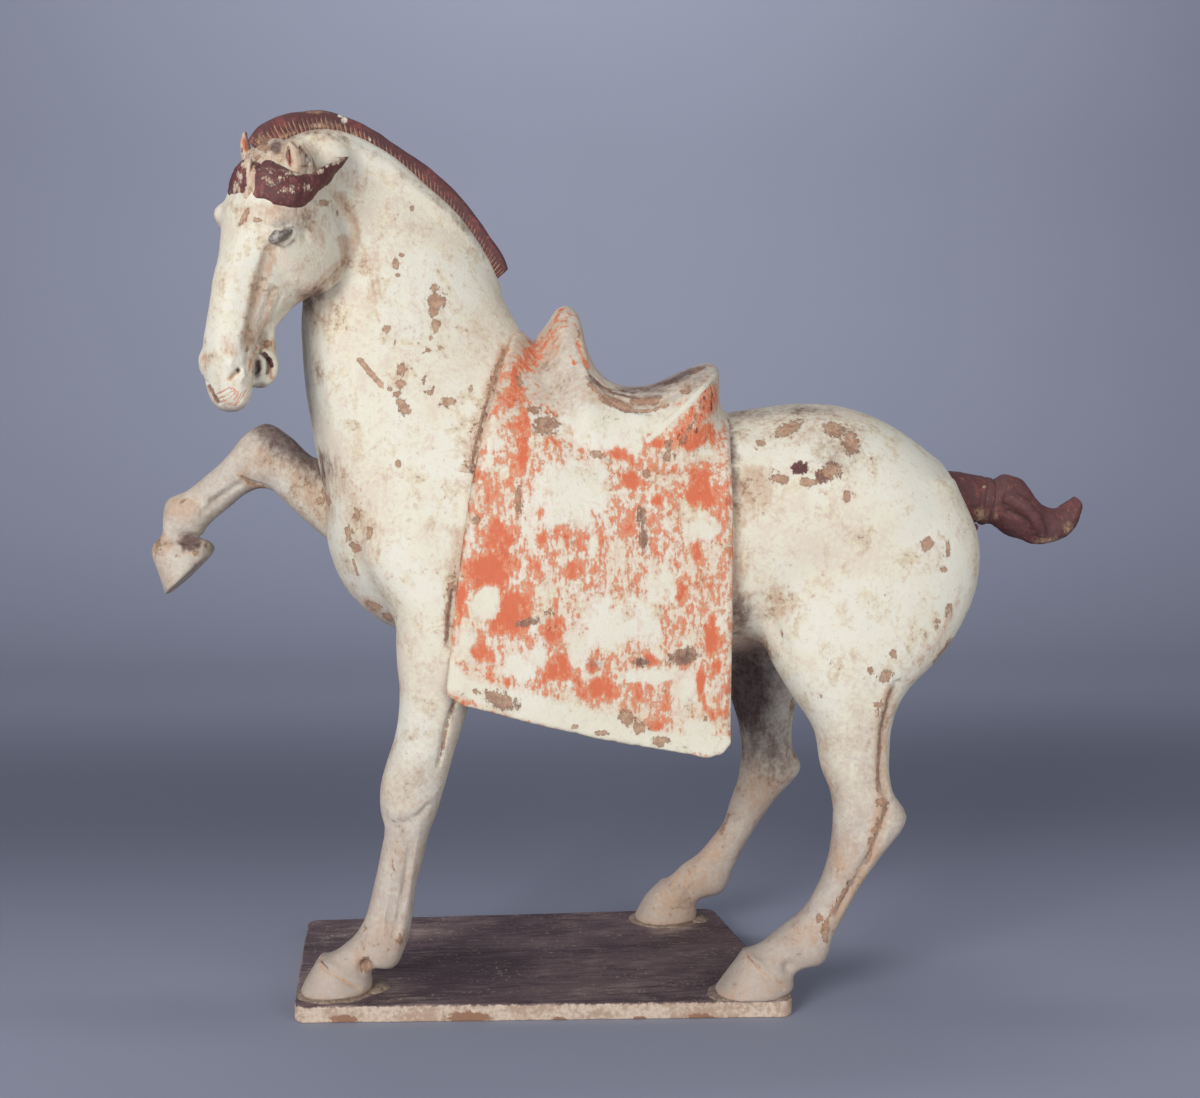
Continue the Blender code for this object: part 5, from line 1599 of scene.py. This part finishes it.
class Paint:
    def __init__(self, name):
        self.material = bpy.data.materials.new(name)
        self.material.use_nodes = True
        self.tree = self.material.node_tree
        self.shader = self.tree.nodes["Principled BSDF"]
        self.at = self.node("ShaderNodeTexCoord", output="Object")

    def node(self, kind, settings=None, inputs=None, output=0):
        made = self.tree.nodes.new(kind)
        for name, value in (settings or {}).items():
            setattr(made, name, value)
        for name, value in (inputs or {}).items():
            self.feed(made.inputs[name], value)
        return Value(self, made.outputs[output])

    def feed(self, socket, value):
        if isinstance(value, Value):
            self.tree.links.new(value.socket, socket)
        elif socket.type == "RGBA":
            socket.default_value = (*value, 1.0)
        else:
            socket.default_value = value

    def noise(self, size, detail=4.0, rough=0.55, stretch=(1, 1, 1), twist=0.0):  # size in metres
        scaled = tuple(s / size for s in stretch)
        at = self.node("ShaderNodeVectorMath", {"operation": "MULTIPLY"}, {0: self.at, 1: scaled})
        inputs = {"Vector": at, "Scale": 1.0, "Detail": detail, "Roughness": rough, "Distortion": twist}
        return self.node("ShaderNodeTexNoise", inputs=inputs)

    def step(self, value, low, high):
        inputs = {"Value": value, "From Min": low, "From Max": high}
        return self.node("ShaderNodeMapRange", {"interpolation_type": "SMOOTHSTEP"}, inputs)

    def mix(self, share, first, second):
        return self.node("ShaderNodeMix", {"data_type": "RGBA"}, {0: share, 6: first, 7: second}, output=2)

    def marks(self, name):
        colour = self.node("ShaderNodeAttribute", {"attribute_name": name}, output="Color")
        parts = self.node("ShaderNodeSeparateColor", inputs={"Color": colour})
        return parts, parts.other("Green"), parts.other("Blue"), colour.other("Alpha")

    def finish(self, colour, roughness, height, depth):
        bump = self.node("ShaderNodeBump", inputs={"Height": height, "Distance": depth, "Strength": 1.0})
        self.feed(self.shader.inputs["Base Color"], colour)
        self.feed(self.shader.inputs["Roughness"], roughness)
        self.feed(self.shader.inputs["Normal"], bump)
        return self.material


# Finishes of the fired and painted clay. Colours are linear.
clay = {
    "cream": (0.76, 0.705, 0.54),
    "white": (0.775, 0.735, 0.615),
    "butter": (0.75, 0.67, 0.45),
    "pink": (0.70, 0.555, 0.47),
    "stain": (0.55, 0.36, 0.235),
    "filmAndShade": (0.45, 0.355, 0.30),
    "clayLight": (0.56, 0.345, 0.22),
    "clayDark": (0.37, 0.205, 0.13),
    "dirt": (0.115, 0.060, 0.058),
    "dust": (0.23, 0.165, 0.14),
    "red": (0.67, 0.135, 0.052),
    "redWorn": (0.72, 0.28, 0.15),
    "redFaint": (0.72, 0.43, 0.28),
    "maroon": (0.088, 0.0155, 0.021),
    "maroonWorn": (0.23, 0.048, 0.049),
    "maroonScuffed": (0.40, 0.21, 0.17),
}


def slipFinish(name, red=0.0, hair=0.0, stain=0.0, cover=0.93):  # red and hair: paint on the slip
    paint = Paint(name)
    bare, wash, dirt, hollowShade = paint.marks("wear")
    redMark, maroonMark, white, dust = paint.marks("paint")
    broad = paint.noise(0.05, 3.0)
    cloudy = paint.noise(0.017, 7.0, 0.64, twist=0.3)
    ragged = paint.noise(0.010, 9.0, 0.72, twist=0.5)
    torn = paint.noise(0.008, 8.0, 0.68, stretch=(1.25, 1.25, 0.7))
    flecks = paint.noise(0.0032, 7.0, 0.68)
    grit = paint.noise(0.0009, 3.0, 0.6)
    brushed = paint.noise(0.006, 7.0, 0.66, stretch=(1.3, 1.3, 0.42))
    streaks = paint.noise(0.0030, 6.0, 0.70, stretch=(1.5, 1.5, 0.55))
    # the same noises about nought
    cloud, rag, fleck, brush, streak = [tone - 0.5 for tone in (cloudy, ragged, flecks, brushed, streaks)]
    edge = rag * 0.9 + fleck * 1.1 + streak * 1.7
    dab = (torn - 0.5) * 2.3 + brush * 1.3 + streak * 1.2

    colour = paint.mix(paint.step(broad, 0.40, 0.60), clay["cream"], clay["white"])
    colour = paint.mix(paint.step(cloudy, 0.50, 0.64) * 0.6, colour, clay["butter"])
    rosy = paint.step(rag * 0.8 + (broad - 0.5) * -1.0 + flecks, 0.46, 0.66)
    colour = paint.mix(rosy * 0.45, colour, clay["pink"])
    thin = paint.step(brushed * 0.5 + flecks * 0.5 + cloud * 1.3, 0.53, 0.70)
    colour = paint.mix(thin * 0.26, colour, clay["stain"])
    # grey film and dust, and painted shade on what faces up or down and on the far legs
    filmedAndShaded = paint.step(dust + cloud * 0.9 + fleck * 0.7, 0.10, 1.05)
    colour = paint.mix(filmedAndShaded * 0.85, colour, clay["filmAndShade"])
    wet = wash + rag * 1.3 + brush * 1.3 + fleck * 0.8 + stain
    washed = paint.step(wet, 0.12, 1.15)
    texture = paint.step(brushed * 0.5 + flecks * 0.3 + streaks * 0.2, 0.40, 0.60)
    colour = paint.mix(washed * (0.42 + texture * 0.45), colour, clay["stain"])

    pigment = redMark - white * 0.6 + dab + fleck * 1.0 + red
    colour = paint.mix(paint.step(pigment, 0.0, 0.55) * 0.5, colour, clay["redFaint"])
    redTone = paint.mix(paint.step(pigment, 0.60, 1.0), clay["redWorn"], clay["red"])
    redCover = paint.step(pigment, 0.46, 0.60)
    colour = paint.mix(redCover * cover, colour, redTone)
    hairCover = paint.step(maroonMark - white * 0.6 - wash * hair * 0.8 + edge * 0.8 + hair, 0.42, 0.62)
    hairTone = paint.mix(paint.step(cloudy + fleck * 1.2, 0.46, 0.76), clay["maroon"], clay["maroonWorn"])
    scuffed = paint.step(streaks * 0.6 + flecks * 0.4 + rag * 0.6, 0.54, 0.68)
    hairTone = paint.mix(scuffed * 0.22, hairTone, clay["maroonScuffed"])
    colour = paint.mix(hairCover * 0.95, colour, hairTone)
    whiteCover = paint.step(white + edge * 0.8, 0.62, 0.80)
    colour = paint.mix(whiteCover * 0.75, colour, paint.mix(broad, clay["cream"], clay["white"]))

    halo = paint.step(bare + edge * 1.1, 0.20, 0.66)
    colour = paint.mix(halo * 0.5, colour, clay["stain"])
    gone = paint.step(bare * 1.15 + edge * 1.35 - 0.12, 0.46, 0.62)
    crumbs = paint.step(flecks + cloud * 0.9 + wash * 0.08 + (grit - 0.5) * 0.3, 0.735, 0.775)
    gone = (gone + crumbs * 0.5).upTo(1.0)
    clayTone = paint.mix(paint.step(flecks + rag * 0.8, 0.36, 0.62), clay["clayLight"], clay["clayDark"])
    colour = paint.mix(gone * 0.85, colour, clayTone)

    # dark marks: dirt, and painted shade where the marks put it
    soiledAndShaded = paint.step(dirt + cloud * 1.2 + brush * 1.0 + fleck * 0.7, 0.05, 1.5)
    colour = paint.mix(soiledAndShaded * (0.74 + texture * 0.18), colour, clay["dirt"])
    # painted shade in the hollows of the surface
    colour = paint.mix(hollowShade * 0.45, colour, clay["dust"])
    colour = paint.mix(paint.step(grit, 0.50, 0.75) * 0.09, colour, clay["dust"])

    rough = 0.74 + fleck * 0.3 + gone * 0.15 + soiledAndShaded * 0.1 - hairCover * 0.16
    worked = flecks * 0.45 + ragged * 0.5 + brushed * 0.2 + grit * 0.12
    height = worked - gone * 0.5 + redCover * 0.12 + hairCover * 0.1
    paint.shader.inputs["Specular IOR Level"].default_value = 0.28
    return paint.finish(colour, rough, height, 0.0009)


eyePaint = {"dark": (0.16, 0.13, 0.10), "pale": (0.40, 0.36, 0.31), "coat": 0.5, "coatRoughness": 0.15}
smearClay = {"dark": (0.27, 0.195, 0.14), "pale": (0.38, 0.285, 0.20), "flecks": (0.16, 0.11, 0.095)}
slabClay = {
    "dark": (0.085, 0.052, 0.060),  # brushed paint on its top
    "mid": (0.165, 0.110, 0.115),
    "pale": (0.36, 0.26, 0.23),
    "dusty": (0.42, 0.32, 0.27),
    "stain": (0.045, 0.028, 0.036),
    "edgePale": (0.66, 0.53, 0.41),  # bare clay of its sides
    "edgeDark": (0.46, 0.32, 0.23),
    "edgeWorn": (0.30, 0.16, 0.095),
}


def eyeFinish():
    paint = Paint("eye paint")
    cloudy = paint.noise(0.004, 4.0)
    flecks = paint.noise(0.0012, 4.0)
    colour = paint.mix(paint.step(cloudy, 0.42, 0.60), eyePaint["dark"], eyePaint["pale"])
    paint.shader.inputs["Coat Weight"].default_value = eyePaint["coat"]
    paint.shader.inputs["Coat Roughness"].default_value = eyePaint["coatRoughness"]
    return paint.finish(colour, 0.3 + (flecks - 0.5) * 0.3, flecks, 0.0002)


def smearFinish():
    paint = Paint("hoof clay")
    cloudy = paint.noise(0.012, 5.0)
    flecks = paint.noise(0.0025, 5.0, 0.62)
    colour = paint.mix(paint.step(cloudy, 0.4, 0.6), smearClay["dark"], smearClay["pale"])
    colour = paint.mix(paint.step(flecks, 0.42, 0.62) * 0.7, colour, smearClay["flecks"])
    return paint.finish(colour, 0.85 + (flecks - 0.5) * 0.2, flecks, 0.0006)


def slabFinish():
    paint = Paint("slab clay")
    bare, wash, dirt, _ = paint.marks("wear")
    z = paint.node("ShaderNodeSeparateXYZ", inputs={"Vector": paint.at}, output="Z")
    strokes = paint.noise(0.0035, 7.0, 0.68, stretch=(0.16, 1.0, 1.0))
    wide = paint.noise(0.022, 5.0, 0.6, stretch=(0.3, 1.0, 1.0))
    cloudy = paint.noise(0.03, 6.0, 0.6)
    flecks = paint.noise(0.003, 6.0, 0.64)
    cloud, stroke, fleck = cloudy - 0.5, strokes - 0.5, flecks - 0.5
    colour = paint.mix(paint.step(wide + stroke * 0.6, 0.35, 0.65), slabClay["dark"], slabClay["mid"])
    rubbed = paint.step(strokes * 0.6 + flecks * 0.4 + cloud * 0.5, 0.50, 0.72)
    colour = paint.mix(rubbed * 0.5, colour, slabClay["pale"])
    dusty = paint.step(wash + cloud * 1.2 + stroke * 1.4, 0.25, 1.3)
    colour = paint.mix(dusty * 0.8, colour, slabClay["dusty"])
    # dark streaks in its paint, and the painted shadows of the legs
    stained = paint.step(dirt + stroke * 1.2, 0.3, 1.2)
    colour = paint.mix(stained * 0.6, colour, slabClay["stain"])
    side = 1 - paint.step(z + fleck * 0.004, slabHigh.z - 0.0016, slabHigh.z - 0.0004)
    uneven = paint.step(flecks + cloud * 0.9, 0.36, 0.64)
    edgeTone = paint.mix(uneven, slabClay["edgePale"], slabClay["edgeDark"])
    worn = paint.step(bare + cloud * 1.6 + fleck * 1.2, 0.45, 0.75)
    edgeTone = paint.mix(worn, edgeTone, slabClay["edgeWorn"])
    colour = paint.mix(side * 0.94, colour, edgeTone)
    height = strokes * 0.5 + flecks * 0.5
    paint.shader.inputs["Specular IOR Level"].default_value = 0.3
    return paint.finish(colour, 0.78 + (flecks - 0.5) * 0.2, height, 0.0006)


finishes = {
    "body": slipFinish("white slip", red=-0.3, cover=0.62),
    "saddleCloth": slipFinish("red cloth paint", red=0.02),
    "mane": slipFinish("maroon mane paint", hair=1.0, stain=0.4),
    "forelock": slipFinish("maroon forelock paint", hair=0.85, stain=0.6),
    "ears": slipFinish("stained slip", stain=0.75, cover=0.85),
    "eyes": eyeFinish(),
    "tail": slipFinish("maroon tail paint", hair=1.1, stain=0.4),
    "slab": slabFinish(),
    "hoofClay": smearFinish(),
}
for name, piece in pieces.items():
    piece.data.materials.clear()
    piece.data.materials.append(finishes[name])
print("finishes made")

# Floor, camera and light
studio = {
    "paper": (0.34, 0.36, 0.45),
    "paperShade": (0.323, 0.342, 0.4275),
    "paperInShade": (0.15, 0.16, 0.21),
    "band": [(-0.2, 0.52), (0.6, 1.3), (1.4, 2.8)],  # where the painted shade on the paper starts, halves and ends
    "world": (0.62, 0.68, 0.86),
    "worldStrength": 0.22,
    "reach": 6.0,
    "bendStart": 1.6,  # where the paper behind the figure turns up
    "bend": 1.2,
    "bendSteps": 24,
    "top": 4.0,
    "sensor": 36.0,  # millimetres
    "nearest": 0.01,
    # each light's place, aim, size and power
    "lights": {
        "key": ((-1.5, -2.2, 0.95), (0, 0, 0.3), 1.2, 55),
        "fill": ((1.3, -2.2, 0.7), (0, 0, 0.3), 1.8, 28),
        "paper light": ((0.2, 1.0, 2.9), (0.3, 2.8, 1.5), 1.4, 38),
    },
}


def paperFinish():  # pale paper, with painted shade in a soft band behind the figure
    paint = Paint("studio paper")
    uneven = paint.noise(0.4, 3.0)
    y = paint.node("ShaderNodeSeparateXYZ", inputs={"Vector": paint.at}, output="Y")
    start, half, end = [paint.step(y, *ends) for ends in studio["band"]]
    band = start * (1 - half * 0.5) * (1 - end)
    tone = paint.mix(uneven, studio["paperShade"], studio["paper"])
    return paint.finish(paint.mix(band, tone, studio["paperInShade"]), 0.9, uneven, 0.0001)


def makeFloor():  # one sheet of pale paper, swept up behind the figure
    form = bmesh.new()
    profile = [(-studio["reach"], 0.0)]
    for a in np.linspace(0, pi / 2, studio["bendSteps"]):
        profile.append((studio["bendStart"] + studio["bend"] * sin(a), studio["bend"] * (1 - cos(a))))
    profile.append((studio["bendStart"] + studio["bend"], studio["top"]))
    rows = [[form.verts.new((x, y, z)) for x in (-studio["reach"], studio["reach"])] for y, z in profile]
    for low, high in zip(rows, rows[1:]):
        form.faces.new((low[0], low[1], high[1], high[0]))
    mesh = bpy.data.meshes.new("floor")
    form.to_mesh(mesh)
    form.free()
    mesh.shade_smooth()
    floor = bpy.data.objects.new("floor", mesh)
    scene.collection.objects.link(floor)
    mesh.materials.append(paperFinish())


def makeCamera():
    data = bpy.data.cameras.new("camera")
    data.sensor_width = studio["sensor"]
    data.lens = photo["focal"] * studio["sensor"] / photo["width"]
    data.clip_start = studio["nearest"]
    camera = bpy.data.objects.new("camera", data)
    camera.location = photo["place"]
    camera.rotation_euler = Vector(lookAlong).to_track_quat("-Z", "Y").to_euler()
    scene.collection.objects.link(camera)
    scene.camera = camera


def makeLight(name, location, aim, size, power):
    data = bpy.data.lights.new(name, "AREA")
    data.size = size
    data.energy = power
    light = bpy.data.objects.new(name, data)
    light.location = location
    light.rotation_euler = (Vector(aim) - Vector(location)).to_track_quat("-Z", "Y").to_euler()
    scene.collection.objects.link(light)


makeFloor()
makeCamera()
for name, (location, aim, size, power) in studio["lights"].items():
    makeLight(name, location, aim, size, power)
world = bpy.data.worlds.new("studio")
world.use_nodes = True
world.node_tree.nodes["Background"].inputs["Color"].default_value = (*studio["world"], 1.0)
world.node_tree.nodes["Background"].inputs["Strength"].default_value = studio["worldStrength"]
scene.world = world
scene.view_settings.view_transform = "Standard"
print("studio made")
